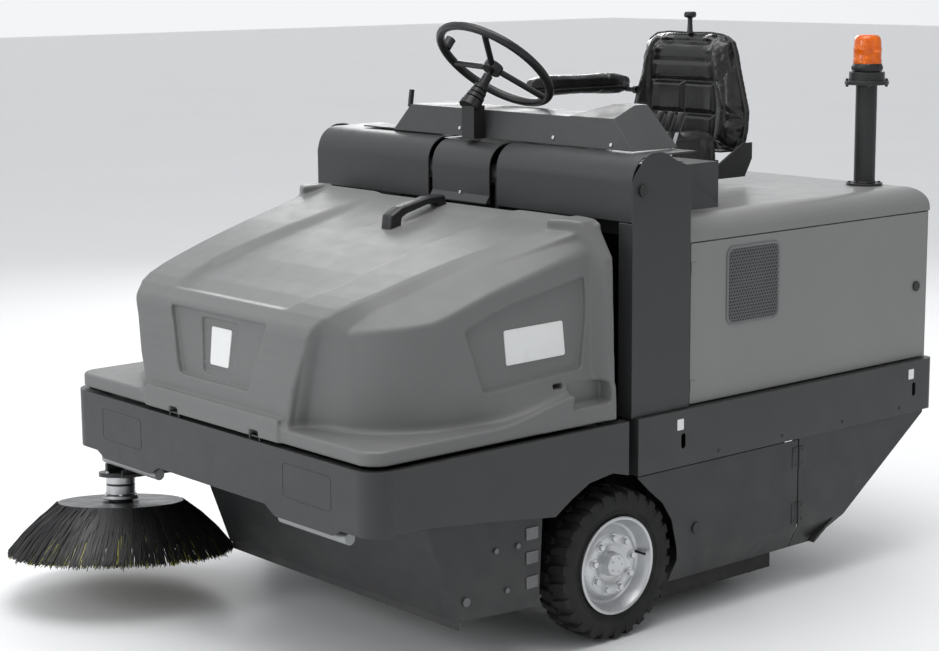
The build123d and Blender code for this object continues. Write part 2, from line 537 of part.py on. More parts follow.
# sloping lower edge on the sides, and the wheel arch
hb -= prism_x([(60, 400), (60, 499), (195, 492), (452, 464), (645, 439), (667, 437), (732, 478), (804, 514), (899, 527), (990, 503), (990, 400)], -900, 900)
# front: higher in the middle, lower towards the corners
hb -= prism_y([(-900, 400), (-900, 490), (-790, 490), (-640, 490), (-600, 470), (-330, 470), (-280, 497), (280, 497), (330, 470), (600, 470), (640, 490), (790, 490), (900, 490), (900, 400)], -10, 61)
for s in (-1, 1):
    a, b = sorted((s * (HALF_W - 46), s * HALF_W))
    hb += bx(a, b, GAP_F - SHEET, GAP_F, 518, BAND_TOP)
# round knock-out outlines are pressed into the front face
for s in (-1, 1):
    a, b = sorted((s * 372, s * 600))
    o = prism_y([(a, 535), (b, 535), (b, 637), (a, 637)], -1, 1.0, 16)
    i = prism_y([(a + 3, 538), (b - 3, 538), (b - 3, 634), (a + 3, 634)], -2, 2.0, 13)
    hb -= (o - i)
# hood hinge pins on two lugs each
HINGE_Y, HINGE_Z = 12.0, 684.0
for xh in (-190.0, 230.0):
    hb += bx(xh - 27, xh - 22, 6, 18, BAND_TOP - 1, 690) + bx(xh + 22, xh + 27, 6, 18, BAND_TOP - 1, 690)
    hb += cyl_x(xh - 22, xh + 22, HINGE_Y, HINGE_Z, 4)
P["bumper_band"] = hb
bb = Part()
for s in (-1, 1):
    a, b = sorted((s * 325, s * 640))
    bb += cyl_x(a, b, 32, 462, 17)
    for xx in (a + 45, b - 45):
        bb += bx(xx - 10, xx + 10, 26, 38, 470, 640)
bb += bx(-640, 640, 38, 44, 600, 640)
P["bumper_bars"] = bb

# Hopper container: welded sheet box, open on top, with its inlet at the rear
T = 4.0
def hop_out(o):
    pts = [(222 + o, 600), (222 + o, 465), (326 + o, 182 + o), (900, 162 + o), (950 - o, 200), (950 - o, 600)]
    return prism_x(pts, -385 + o, 560 - o)
hop = hop_out(0) - prism_x([(222 + T, 610), (222 + T, 466), (326 + T + 1, 182 + T), (900, 162 + T), (950 - T, 202), (950 - T, 610)], -385 + T, 560 - T)
hop -= bx(-350, 500, 940, 960, 205, 396)                 # inlet
# outer left wing that reaches the side of the machine in front of the wheel
wing = prism_x([(222, 600), (222, 465), (326, 182), (640, 165), (655, 430), (655, 600)], 560, 742)
wing -= prism_x([(222 + T, 590), (222 + T, 466), (326 + T + 1, 182 + T), (640 - T, 165 + T), (655 - T, 431), (655 - T, 590)], 559, 738)
hop += wing
rim_top = bx(-640, 640, 300, 304, 560, 600)
hop += bx(-742, -385, 560, 564, 470, 600) + bx(-742, -738, 560, 655, 440, 600) + bx(-742, -385, 560, 655, 596, 600)
# deck that ties the container to the band
deckh = prism_z([(-782, 4.2), (782, 4.2), (782, 955), (-782, 955)], 640, 644, [69, 69, 0, 0]) - bx(-375, 550, 232, 940, 630, 650)
hop += deckh
hop += bx(-385, 560, 222, 226, 598, 642) + bx(-385, 560, 946, 950, 598, 642) + bx(-385, -381, 222, 950, 598, 642) + bx(556, 560, 222, 950, 598, 642)
# clevis brackets for the lift arms and pins for the parallel links
zb = LIFT_Z - LIFT_L
for s in (-1, 1):
    a, b = sorted((s * 168, s * 180))
    hop += prism_x([(948, zb - 60), (948, zb + 70), (1040, zb + 18), (1052, zb), (1040, zb - 18)], a, b)
    a, b = sorted((s * 128, s * 140))
    hop += prism_x([(948, zb - 60), (948, zb + 70), (1040, zb + 18), (1052, zb), (1040, zb - 18)], a, b)
    a, b = sorted((s * 128, s * 180))
    hop += cyl_x(a, b, LIFT_Y, zb, 14)
    zl = zb + LINK_DZ
    a, b = sorted((s * 112, s * 122))
    hop += prism_x([(948, zl - 50), (948, zl + 50), (1036, zl + 16), (1048, zl), (1036, zl - 16)], a, b)
    a, b = sorted((s * 90, s * 122))
    hop += cyl_x(a, b, LIFT_Y, zl, 10)
hop += bx(-180, 180, 946.5, 955, 410, 770)
hop += bx(-372, -364, 926, 948, 394, 414) + bx(504, 512, 926, 948, 394, 414) + cyl_x(-366, 506, 937, 404, 5)
P["hopper_body"] = hop
hbolt = Part()
for y, z, r in ((359, 237, 13), (473, 364, 8), (557, 363, 8), (514, 239, 8)):
    hbolt += cyl_x(742, 748, y, z, r)
hbolt += bx(742, 745, 590, 636, 226, 262) + bx(742, 745, 590, 636, 300, 336) + bx(742, 745, 590, 636, 372, 408)
P["hopper_bolts"] = hbolt
lip = prism_x([(332, 158), (337, 158), (335, 181), (330, 181)], -380, 740)
P["hopper_body"] = P["hopper_body"] + lip
fl = bx(-358, 498, 939, 943, 205, 404) + cyl_x(-358, 498, 937, 404, 9)
fl -= cyl_x(-360, 500, 937, 404, 5.06)
P["hopper_flap"] = fl
flt = bx(-360, 360, 330, 860, 646, 960) - bx(-352, 352, 338, 852, 654, 952)
flt += cyl_z(960, 1010, 0, 560, 60)
P["dust_filter"] = flt

# Grey hood over the hopper: flange, bulged sides, raised centre and nose
def hood_shell(o):
    low_plan = [(-742 + o, 925 - o), (-690 + o, 385), (-690 + o, 95 + o), (690 - o, 95 + o), (690 - o, 385), (742 - o, 925 - o)]
    lower = prism_z(low_plan, 640, 1300, [0, 30, 285 - o, 285 - o, 30, 0])
    lower &= prism_x([(0, 640), (0, 1010 - o), (110, 1030 - o), (930, 1172 - o), (930, 640)], -900, 900)
    cen_plan = [(-745 + o, 925 - o), (-690 + o, 925 - o - 1), (-425 + o, 150), (-400 + o, 26 + o), (400 - o, 26 + o), (425 - o, 150), (690 - o, 925 - o - 1), (745 - o, 925 - o)]
    cen = prism_z([cen_plan[1], cen_plan[2], cen_plan[3], cen_plan[4], cen_plan[5], cen_plan[6]], 640, 1300, [0, 60, 50, 50, 60, 0])
    cen &= prism_x([(0, 640), (20 + o, 740), (26 + o, 1040 - o), (90, 1106 - o), (260, 1134 - o), (614, 1206 - o), (930, 1280 - o), (930, 640)], -900, 900,
                   [0, 0, 30, 30, 0, 0, 0, 0])
    rib = prism_y([(-774 + o, 640), (-756 + o, 1166), (-692 + o, 1276 - o), (692 - o, 1276 - o), (756 - o, 1166), (774 - o, 640)], 880, 925 - o)
    return lower + cen + rib


hd_o = hood_shell(0)
fl_o = prism_z([(-774, 8), (774, 8), (774, 925), (-774, 925)], 684, 728, [66, 66, 0, 0])
hd = (hd_o & bx(-900, 900, -10, 930, 684, 1400)) + fl_o
hd -= hood_shell(6) & bx(-900, 900, -10, 930, 600, 1400)
hd -= prism_z([(-766, 16), (766, 16), (766, 917), (-766, 917)], 680, 722, [58, 58, 0, 0])
for xh in (-190.0, 230.0):
    hd -= bx(xh - 32, xh + 32, 0, 30, 680, 700)
    hd += (cyl_x(xh - 18, xh + 18, HINGE_Y, HINGE_Z, 7.5) + bx(xh - 18, xh + 18, 12, 34, 688, 691.5) + bx(xh - 18, xh + 18, 30, 36, 688, 724)) \
        - cyl_x(xh - 30, xh + 30, HINGE_Y, HINGE_Z, 4.05)
P["front_hood"] = hd
hh = prism_x([(640, 1206), (650, 1262), (690, 1280), (800, 1304), (868, 1306), (880, 1268), (852, 1262), (842, 1282), (800, 1284), (692, 1258), (676, 1250), (668, 1216)], -20, 20, [3, 12, 14, 14, 8, 4, 4, 6, 6, 6, 6, 3])
P["hood_handle"] = hh

# Side brush: arm with its motor, disc and bristle skirt
t = math.radians(SB_TILT)
sb_n = Vector(SB_DIR[0] * math.sin(t), SB_DIR[1] * math.sin(t), math.cos(t))
sb_o = Vector(*SB_C)
sbp = Plane(origin=sb_o, z_dir=sb_n)
arm_s = sbp * Pos(0, 0, 8) * (Cylinder(58, 12)) + sbp * Pos(0, 0, 44) * Cylinder(46, 62)
arm_s += sbp * Pos(0, 0, 0) * Cylinder(15, 20)
arm_s += sbp * Pos(0, 0, 82) * Cylinder(70, 14)
arm_s += prism_z([(-712, 60), (-712, 150), (-640, 260), (-590, 500), (-590, 534), (-470, 534), (-470, 470), (-560, 220), (-590, 60)], 394, 404,
                 [24, 24, 40, 10, 10, 10, 10, 60, 24])
arm_s += bx(-586, -578, 506, 534, 402, 430) + bx(-482, -474, 506, 534, 402, 430)
arm_s += cyl_x(-586, -474, SBP_Y, SBP_Z, 18)
arm_s += bx(-664, -652, 40, 110, 402, 436) + bx(-600, -592, 60, 160, 402, 420)
arm_s -= cyl_x(-600, -460, SBP_Y, SBP_Z, 10.06)
P["side_brush_arm"] = arm_s
# pivot bracket of the side brush arm, under the hopper's deck
sbb = cyl_x(-600, -460, SBP_Y, SBP_Z, 10)
sbb += bx(-600, -592, 500, 540, 412, 640) + bx(-468, -460, 500, 540, 412, 640)
P["bumper_bars"] = P["bumper_bars"] + sbb
disc = sbp * Pos(0, 0, -16) * Cylinder(SB_R_TOP, 20) + sbp * Pos(0, 0, -3) * Cylinder(40, 6)
disc -= sbp * Pos(0, 0, -6) * Cylinder(15.06, 12)
disc -= sbp * Pos(0, 0, -1) * (Cylinder(60, 3) - Cylinder(41, 5))
P["side_brush_disc"] = disc
bri = sbp * Pos(0, 0, -26 - (SB_H - 26) / 2) * Cone(SB_R_BOT, SB_R_TOP - 4, SB_H - 26)
bri -= sbp * Pos(0, 0, -26 - (SB_H - 26) / 2 - 8) * Cone(SB_R_BOT - 40, 150, SB_H - 26 - 8)
sbpf = Plane(origin=sb_o, z_dir=sb_n)
P["side_brush_bristles"] = bri

if __name__ == "__main__":
    os.makedirs("parts", exist_ok=True)
    for old in os.listdir("parts"):
        if old.endswith(".step") and old[:-5] not in P:
            os.remove(os.path.join("parts", old))
    lo = [1e9] * 3
    hi = [-1e9] * 3
    for name, s in P.items():
        m = Pos(-ORIGIN_X, -ORIGIN_Y, 0) * s
        sol = m.solids()
        out = sol[0] if len(sol) == 1 else Compound(children=list(sol))
        b = out.bounding_box()
        for i, (u, v) in enumerate(((b.min.X, b.max.X), (b.min.Y, b.max.Y), (b.min.Z, b.max.Z))):
            lo[i] = min(lo[i], u)
            hi[i] = max(hi[i], v)
        export_step(out, "parts/" + name + ".step")
    print(len(P), "pieces; box", [round(v, 2) for v in lo], [round(v, 2) for v in hi])
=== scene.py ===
import math
import random
import bpy
import bmesh
import numpy as np
from mathutils import Matrix, Vector


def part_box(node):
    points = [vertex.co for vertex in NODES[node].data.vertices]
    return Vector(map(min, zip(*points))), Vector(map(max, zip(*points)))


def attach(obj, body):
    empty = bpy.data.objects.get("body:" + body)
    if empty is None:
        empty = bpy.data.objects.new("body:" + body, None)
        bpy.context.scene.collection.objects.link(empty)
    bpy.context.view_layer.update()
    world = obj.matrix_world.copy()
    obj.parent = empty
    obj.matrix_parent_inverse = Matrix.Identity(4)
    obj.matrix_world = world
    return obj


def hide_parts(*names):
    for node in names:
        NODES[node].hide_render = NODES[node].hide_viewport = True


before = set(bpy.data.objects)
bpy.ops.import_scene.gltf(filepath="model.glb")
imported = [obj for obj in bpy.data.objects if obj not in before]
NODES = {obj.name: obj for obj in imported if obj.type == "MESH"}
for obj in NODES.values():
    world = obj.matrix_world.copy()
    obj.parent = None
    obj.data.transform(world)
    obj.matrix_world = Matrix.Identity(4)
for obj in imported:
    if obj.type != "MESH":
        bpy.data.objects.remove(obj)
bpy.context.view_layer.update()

random.seed(7)
RNG = np.random.default_rng(7)

_lo, _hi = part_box("rear_band")
OX, OY = -(_lo.x + _hi.x) / 2, 2.442 - _hi.y


def M(x, y, z):
    return Vector((x - OX, y - OY, z))


def MA(a):
    a = np.asarray(a, float).copy()
    a[:, 0] -= OX
    a[:, 1] -= OY
    return a


# ---- camera, stage and light ------------------------------------------------
def camera():
    yaw, p, r = map(math.radians, (48.9956, 9.8918, -0.3424))
    d = Vector((-math.sin(yaw) * math.cos(p), math.cos(yaw) * math.cos(p), -math.sin(p)))
    right = Vector((math.cos(yaw), math.sin(yaw), 0))
    up = right.cross(d)
    R = math.cos(r) * right + math.sin(r) * up
    U = -math.sin(r) * right + math.cos(r) * up
    cam = bpy.data.objects.new("Camera", bpy.data.cameras.new("Camera"))
    bpy.context.scene.collection.objects.link(cam)
    m = Matrix((R, U, -d)).transposed().to_4x4()
    m.translation = M(4.9949, -3.2773, 2.0319)
    cam.matrix_world = m
    c = cam.data
    c.sensor_fit = "HORIZONTAL"
    c.sensor_width, c.lens = 36, 78.95
    c.shift_x, c.shift_y = -0.01135, -0.00963
    c.clip_start, c.clip_end = 0.1, 200
    bpy.context.scene.camera = cam
    return R, U, d


CR, CU, CD = camera()


def area(name, loc, target, size, energy, col=(1, 1, 1)):
    L = bpy.data.lights.new(name, "AREA")
    L.shape, L.size, L.size_y, L.energy, L.color = "RECTANGLE", size[0], size[1], energy, col
    o = bpy.data.objects.new(name, L)
    bpy.context.scene.collection.objects.link(o)
    o.location = loc
    o.rotation_mode = "QUATERNION"
    o.rotation_quaternion = (Vector(target) - Vector(loc)).to_track_quat("-Z", "Y")
    return o


area("Top", M(0.6, 0.6, 6.0), M(0, 1.2, 0.6), (4.5, 4.5), 215)
area("Front", M(-1.6, -5.4, 3.2), M(0, 1.0, 0.8), (3.0, 2.2), 75)
area("Side", M(6.6, 2.4, 3.4), M(0, 1.3, 0.7), (3.6, 2.4), 16)
area("Rim", M(-4.8, 4.8, 3.6), M(0, 1.3, 1.0), (3.0, 2.4), 120)

world = bpy.data.worlds.new("World")
bpy.context.scene.world = world
world.use_nodes = True
_nt = world.node_tree
_bg = _nt.nodes["Background"]
_bg.inputs[0].default_value = (0.965, 0.98, 1.0, 1)
_tc = _nt.nodes.new("ShaderNodeTexCoord")
_dt = _nt.nodes.new("ShaderNodeVectorMath")
_dt.operation = "DOT_PRODUCT"
_dt.inputs[1].default_value = (0.86, 0.40, 0.05)
_mr = _nt.nodes.new("ShaderNodeMapRange")
_mr.interpolation_type = "SMOOTHSTEP"
for _i, _v in ((1, -0.35), (2, 0.75), (3, 0.93), (4, 0.34)):
    _mr.inputs[_i].default_value = _v
_nt.links.new(_tc.outputs["Generated"], _dt.inputs[0])
_nt.links.new(_dt.outputs["Value"], _mr.inputs[0])
_nt.links.new(_mr.outputs[0], _bg.inputs[1])
bpy.context.scene.view_settings.view_transform = "Standard"
bpy.context.scene.view_settings.look = "None"


# ---- node helpers -----------------------------------------------------------
def new_mat(name):
    m = bpy.data.materials.new(name)
    m.use_nodes = True
    nt = m.node_tree
    return m, nt, nt.nodes["Principled BSDF"]


def ramp(nt, fac, a, b, lo=0.0, hi=1.0):
    n = nt.nodes.new("ShaderNodeMapRange")
    n.clamp = True
    nt.links.new(fac, n.inputs[0])
    for i, v in enumerate((lo, hi, a, b)):
        n.inputs[i + 1].default_value = v
    return n.outputs[0]


def noise(nt, co, scale, detail=4, rough=0.55):
    n = nt.nodes.new("ShaderNodeTexNoise")
    nt.links.new(co, n.inputs["Vector"])
    n.inputs["Scale"].default_value = scale
    n.inputs["Detail"].default_value = detail
    n.inputs["Roughness"].default_value = rough
    return n.outputs["Fac"]


def mix(nt, fac, a, b):
    n = nt.nodes.new("ShaderNodeMix")
    n.data_type = "RGBA"
    if hasattr(fac, "links") or hasattr(fac, "is_linked"):
        nt.links.new(fac, n.inputs[0])
    else:
        n.inputs[0].default_value = fac
    for s, v in ((n.inputs[6], a), (n.inputs[7], b)):
        if isinstance(v, (tuple, list)):
            s.default_value = (*v[:3], 1)
        else:
            nt.links.new(v, s)
    return n.outputs[2]


def math_(nt, op, a, b=None, c=None):
    n = nt.nodes.new("ShaderNodeMath")
    n.operation = op
    for s, v in zip(n.inputs, (a, b, c)):
        if v is None:
            continue
        if isinstance(v, (int, float)):
            s.default_value = v
        else:
            nt.links.new(v, s)
    return n.outputs[0]


def objco(nt):
    return nt.nodes.new("ShaderNodeTexCoord").outputs["Object"]


def surface(name, col, rough=0.5, metal=0.0, grain=900.0, grain_h=0.00012, var=0.10, var_scale=2.5, rvar=0.10,
            dust=0.0, dustcol=(0.30, 0.28, 0.25), edge=0.0, edgecol=(0.5, 0.5, 0.5), coat=0.0, spec=0.5, bevel=0.0, streak=0.0,
            wrinkle=0.0, low_dirt=0.0, sheen=0.0):
    """Painted, moulded, rubber or metal surface: colour clouds, grain bump, uneven gloss, dust low down, rubbed edges."""
    m, nt, b = new_mat(name)
    co = objco(nt)
    dark = tuple(c * (1 - var) for c in col)
    light = tuple(min(1, c * (1 + var)) for c in col)
    clouds = noise(nt, co, var_scale, 5)
    c = mix(nt, ramp(nt, clouds, 0, 1, 0.3, 0.7), dark, light)
    fine = noise(nt, co, grain * 0.35, 3)
    c = mix(nt, ramp(nt, fine, 0, 0.12, 0.35, 0.75), c, dark)
    if dust or low_dirt:
        geo = nt.nodes.new("ShaderNodeNewGeometry")
        sep = nt.nodes.new("ShaderNodeSeparateXYZ")
        nt.links.new(geo.outputs["Normal"], sep.inputs[0])
        up = ramp(nt, sep.outputs[2], 0, 1, 0.2, 1.0)
        blot = ramp(nt, noise(nt, co, 9, 6, 0.65), 0, 1, 0.42, 0.72)
        f = math_(nt, "MULTIPLY", math_(nt, "MULTIPLY", up, blot), dust)
        if low_dirt:
            sp = nt.nodes.new("ShaderNodeSeparateXYZ")
            nt.links.new(co, sp.inputs[0])
            lowz = ramp(nt, sp.outputs[2], 1, 0, 0.05, 0.42)
            f = math_(nt, "ADD", f, math_(nt, "MULTIPLY", math_(nt, "MULTIPLY", lowz, blot), low_dirt))
        c = mix(nt, f, c, dustcol)
    if edge:
        geo = nt.nodes.new("ShaderNodeNewGeometry")
        eb = nt.nodes.new("ShaderNodeBevel")
        eb.samples = 4
        eb.inputs["Radius"].default_value = 0.0035
        dot = nt.nodes.new("ShaderNodeVectorMath")
        dot.operation = "DOT_PRODUCT"
        nt.links.new(eb.outputs[0], dot.inputs[0])
        nt.links.new(geo.outputs["Normal"], dot.inputs[1])
        pt = ramp(nt, dot.outputs["Value"], 1, 0, 0.80, 0.985)
        wear = math_(nt, "MULTIPLY", math_(nt, "MULTIPLY", pt, ramp(nt, noise(nt, co, 60, 4), 0, 1, 0.4, 0.6)), edge)
        c = mix(nt, wear, c, edgecol)
    nt.links.new(c, b.inputs["Base Color"])
    rr = ramp(nt, noise(nt, co, 14, 6, 0.6), max(0.03, rough - rvar), min(1, rough + rvar), 0.3, 0.7)
    nt.links.new(rr, b.inputs["Roughness"])
    b.inputs["Metallic"].default_value = metal
    b.inputs["Specular IOR Level"].default_value = spec
    b.inputs["Coat Weight"].default_value = coat
    b.inputs["Coat Roughness"].default_value = 0.15
    b.inputs["Sheen Weight"].default_value = sheen
    bump = nt.nodes.new("ShaderNodeBump")
    bump.inputs["Strength"].default_value = 1.0
    bump.inputs["Distance"].default_value = 1.0
    g = noise(nt, co, grain, 2, 0.5)
    h = math_(nt, "MULTIPLY", g, grain_h)
    if streak:
        mp = nt.nodes.new("ShaderNodeMapping")
        nt.links.new(co, mp.inputs[0])
        mp.inputs["Scale"].default_value = (1, 40, 1)
        h = math_(nt, "ADD", h, math_(nt, "MULTIPLY", noise(nt, mp.outputs[0], 40, 3), streak))
    if wrinkle:
        h = math_(nt, "ADD", h, math_(nt, "MULTIPLY", noise(nt, co, 26, 4, 0.6), wrinkle))
    nt.links.new(h, bump.inputs["Height"])
    if bevel:
        bv = nt.nodes.new("ShaderNodeBevel")
        bv.samples = 4
        bv.inputs["Radius"].default_value = bevel
        nt.links.new(bv.outputs[0], bump.inputs["Normal"])
    nt.links.new(bump.outputs[0], b.inputs["Normal"])
    return m


HOOD = surface("hood_moulding", (0.150, 0.151, 0.150), 0.47, grain=1100, grain_h=0.00010, var=0.035, dust=0.05, bevel=0, spec=0.45, rvar=0.05)
DOOR = surface("door_paint", (0.205, 0.206, 0.203), 0.34, grain=700, grain_h=0.00004, var=0.03, dust=0.03, bevel=0.0025, coat=0.1, rvar=0.05)
BAND = surface("band_powder_coat", (0.030, 0.031, 0.032), 0.40, grain=1500, grain_h=0.00010, var=0.06, dust=0.035, bevel=0.003, edge=0.12, rvar=0.06)
LOW = surface("panel_powder_coat", (0.024, 0.025, 0.026), 0.46, grain=1500, grain_h=0.00010, var=0.08, dust=0.05, bevel=0.002, edge=0.12, low_dirt=0.10, rvar=0.07)
STEEL = surface("black_steel", (0.016, 0.0165, 0.017), 0.42, grain=900, grain_h=0.00008, var=0.12, dust=0.08, bevel=0.0015, edge=0.25, edgecol=(0.30, 0.30, 0.30), low_dirt=0.10)
PLASTIC = surface("black_plastic", (0.011, 0.011, 0.012), 0.36, grain=1300, grain_h=0.00012, var=0.10, bevel=0.0012)
COWL = surface("cowl_plastic", (0.040, 0.041, 0.042), 0.46, grain=1200, grain_h=0.00014, var=0.05, bevel=0.003, dust=0.04)
TYRE = surface("tyre_rubber", (0.014, 0.014, 0.0145), 0.72, grain=500, grain_h=0.00022, var=0.18, dust=0.20, dustcol=(0.13, 0.125, 0.115), low_dirt=0.10, spec=0.35)
SKIRT = surface("skirt_rubber", (0.020, 0.020, 0.020), 0.68, grain=400, grain_h=0.0002, var=0.15, dust=0.18, dustcol=(0.14, 0.13, 0.12), low_dirt=0.15, spec=0.35)
DZINC = surface("strip_zinc", (0.16, 0.16, 0.165), 0.42, metal=0.6, grain=260, grain_h=0.00006, var=0.14, var_scale=16, rvar=0.10, bevel=0.0008)
ZINC = surface("zinc_plate", (0.62, 0.63, 0.64), 0.34, metal=1.0, grain=260, grain_h=0.00006, var=0.14, var_scale=16, rvar=0.12, bevel=0.0008)
RIMM = surface("wheel_silver", (0.60, 0.61, 0.62), 0.33, metal=0.75, grain=700, grain_h=0.00005, var=0.07, rvar=0.08, dust=0.10, dustcol=(0.25, 0.24, 0.22), bevel=0.001)
BARS = surface("bar_paint", (0.30, 0.31, 0.31), 0.42, metal=0.3, grain=900, grain_h=0.00006, var=0.08, dust=0.05, bevel=0.0015)
GRILL = surface("grille_steel", (0.17, 0.172, 0.175), 0.40, metal=0.4, grain=1200, grain_h=0.00004, var=0.08)
CHROME = surface("chrome", (0.75, 0.76, 0.77), 0.14, metal=1.0, grain=300, grain_h=0.00002, var=0.05, rvar=0.05)
VINYL = surface("seat_vinyl", (0.009, 0.009, 0.0093), 0.30, grain=520, grain_h=0.00030, var=0.12, wrinkle=0.0009, spec=0.5, rvar=0.08, coat=0.25)
SEAM = surface("seam_thread", (0.030, 0.030, 0.031), 0.6, grain=2500, grain_h=0.0003, var=0.2)
ENGINE = surface("engine_alloy", (0.30, 0.30, 0.30), 0.42, metal=0.8, grain=180, grain_h=0.0003, var=0.2, dust=0.15, streak=0.0003)
FILTER = surface("filter_media", (0.42, 0.38, 0.30), 0.85, grain=300, grain_h=0.0006, var=0.15, dust=0.3)
BRIST = surface("bristle_black", (0.012, 0.012, 0.013), 0.42, grain=2000, grain_h=0.00005, var=0.25, var_scale=40)
BRISY = surface("bristle_yellow", (0.42, 0.40, 0.05), 0.45, grain=2000, grain_h=0.00005, var=0.25, var_scale=40)
WHITE = surface("blank_plate", (0.80, 0.81, 0.80), 0.34, grain=900, grain_h=0.00003, var=0.02, coat=0.3)
HOLE = surface("knock_out", (0.040, 0.042, 0.045), 0.5, grain=1500, grain_h=0.0001, var=0.06)
# painted shade: near-black matte fill for sheets put behind slots, gaps and grille holes, where only shade falls
PAINTED_SHADE = surface("painted_shade_recess", (0.010, 0.010, 0.010), 0.75, grain=600, grain_h=0.0002, var=0.2)


def amber():
    m, nt, b = new_mat("beacon_amber")
    co = objco(nt)
    c = mix(nt, ramp(nt, noise(nt, co, 30, 4), 0, 1, 0.3, 0.7), (0.80, 0.13, 0.003), (0.95, 0.20, 0.006))
    nt.links.new(c, b.inputs["Base Color"])
    nt.links.new(ramp(nt, noise(nt, co, 80, 3), 0.07, 0.16), b.inputs["Roughness"])
    b.inputs["Transmission Weight"].default_value = 0.45
    b.inputs["IOR"].default_value = 1.49
    # painted glow: faint orange emission over the whole lens; no lamp in the scene lights it from inside
    b.inputs["Emission Strength"].default_value = 0.02
    b.inputs["Emission Color"].default_value = (1.0, 0.22, 0.0, 1)
    bump = nt.nodes.new("ShaderNodeBump")
    bump.inputs["Distance"].default_value = 1.0
    nt.links.new(math_(nt, "MULTIPLY", noise(nt, co, 120, 3), 0.0002), bump.inputs["Height"])
    nt.links.new(bump.outputs[0], b.inputs["Normal"])
    return m


AMBER = amber()


def floor():
    m, nt, b = new_mat("floor")
    co = objco(nt)
    c = mix(nt, noise(nt, co, 0.7, 4), (0.86, 0.865, 0.87), (0.90, 0.905, 0.91))
    nt.links.new(c, b.inputs["Base Color"])
    nt.links.new(ramp(nt, noise(nt, co, 5, 4), 0.42, 0.55), b.inputs["Roughness"])
    b.inputs["Specular IOR Level"].default_value = 0.25
    n = 24
    vs, fs = [], []
    for i in range(n + 1):
        for j in range(n + 1):
            vs.append(M((i / n - 0.5) * 90, (j / n - 0.5) * 90 + 1.2, 0))
    for i in range(n):
        for j in range(n):
            a = i * (n + 1) + j
            fs.append((a, a + n + 1, a + n + 2, a + 1))
    me = bpy.data.meshes.new("Floor")
    me.from_pydata(vs, [], fs)
    me.materials.append(m)
    o = bpy.data.objects.new("Floor", me)
    bpy.context.scene.collection.objects.link(o)


floor()

# ---- CAD nodes that stay: finishes -----------------------------------------
KEEP = {
    "main_frame": STEEL, "rear_band": BAND, "bumper_band": BAND, "lower_panel_left": LOW, "lower_panel_right": LOW,
    "brush_door_left": LOW, "brush_door_right": LOW, "column_left": BAND, "column_right": BAND, "cross_covers": BAND,
    "console_cowl": COWL, "instrument_panel": PLASTIC, "steering_column": PLASTIC, "footwell_tub": LOW, "rear_hood": DOOR,
    "engine_and_hydraulics": ENGINE, "fuel_and_oil_tanks": PLASTIC, "battery": PLASTIC, "beacon_pole": STEEL, "wheel_motors": STEEL,
    "rubber_skirts": SKIRT, "brush_housing": STEEL, "rear_fork": STEEL, "steering_wheel": PLASTIC, "brush_frame": STEEL,
    "lift_arms": STEEL, "parallel_links": STEEL, "bumper_bars": BARS, "hopper_body": LOW, "hopper_bolts": DZINC, "dust_filter": FILTER,
    "hopper_flap": SKIRT, "engine_door_left": DOOR, "engine_door_right": DOOR, "door_lock_left": PLASTIC, "door_lock_right": PLASTIC,
    "brush_door_latch_left": PLASTIC, "brush_door_latch_right": PLASTIC, "seat_base": STEEL, "lever_hopper_lift": ZINC,
    "lever_hopper_flap": ZINC, "lever_brush_lift": ZINC, "side_lever": PLASTIC, "drive_pedal": SKIRT, "brake_pedal": SKIRT,
    "side_brush_arm": STEEL, "side_brush_disc": PLASTIC, "side_brush_bristles": BRIST, "main_brush": BRIST, "front_hood": HOOD,
    "hood_handle": PLASTIC, "tyre_front_left": TYRE, "tyre_front_right": TYRE, "rim_front_left": RIMM, "rim_front_right": RIMM,
    "rear_wheel": TYRE, "beacon_lens": AMBER, "seat_cushion": VINYL, "seat_backrest": VINYL, "armrest": VINYL,
}
for n, o in NODES.items():
    m = KEEP.get(n, STEEL)
    if not o.data.materials:
        o.data.materials.append(m)
    for i in range(len(o.data.materials)):
        o.data.materials[i] = m


# ---- mesh helpers -----------------------------------------------------------
def put(name, verts, faces, mats, body, smooth=True, mids=None, angle=None, row=False):
    me = bpy.data.meshes.new(name)
    v = np.asarray(verts, float)
    if not row:
        v = MA(v)
    me.from_pydata(v.tolist(), [], [tuple(int(i) for i in f) for f in faces])
    for m in mats if isinstance(mats, (list, tuple)) else [mats]:
        me.materials.append(m)
    if mids is not None:
        me.polygons.foreach_set("material_index", np.asarray(mids, np.int32))
    if smooth:
        me.polygons.foreach_set("use_smooth", np.ones(len(me.polygons), bool))
        if angle:
            me.set_sharp_from_angle(angle=math.radians(angle))
    me.update()
    o = bpy.data.objects.new(name, me)
    bpy.context.scene.collection.objects.link(o)
    if body:
        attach(o, body)
    return o


class Acc:
    """Gathers vertices and faces of many small parts into one mesh."""

    def __init__(s):
        s.v, s.f, s.m = [], [], []

    def add(s, v, f, mid=0):
        n = len(s.v)
        s.v += [tuple(p) for p in v]
        s.f += [tuple(i + n for i in q) for q in f]
        s.m += [mid] * len(f)

    def done(s, name, mats, body, angle=40):
        return put(name, s.v, s.f, mats, body, mids=s.m, angle=angle)


def lathe(profile, centre, axis="x", seg=96, closed=True):
    """Turned body: profile is (along axis, radius)."""
    v, f = [], []
    n = len(profile)
    for i in range(seg):
        a = 2 * math.pi * i / seg
        ca, sa = math.cos(a), math.sin(a)
        for (t, r) in profile:
            if axis == "x":
                v.append((centre[0] + t, centre[1] + r * ca, centre[2] + r * sa))
            elif axis == "y":
                v.append((centre[0] + r * ca, centre[1] + t, centre[2] + r * sa))
            else:
                v.append((centre[0] + r * ca, centre[1] + r * sa, centre[2] + t))
    for i in range(seg):
        j = (i + 1) % seg
        for k in range(n if closed else n - 1):
            l = (k + 1) % n
            q = (i * n + k, i * n + l, j * n + l, j * n + k)
            f.append(q if axis != "y" else q[::-1])
    return v, f


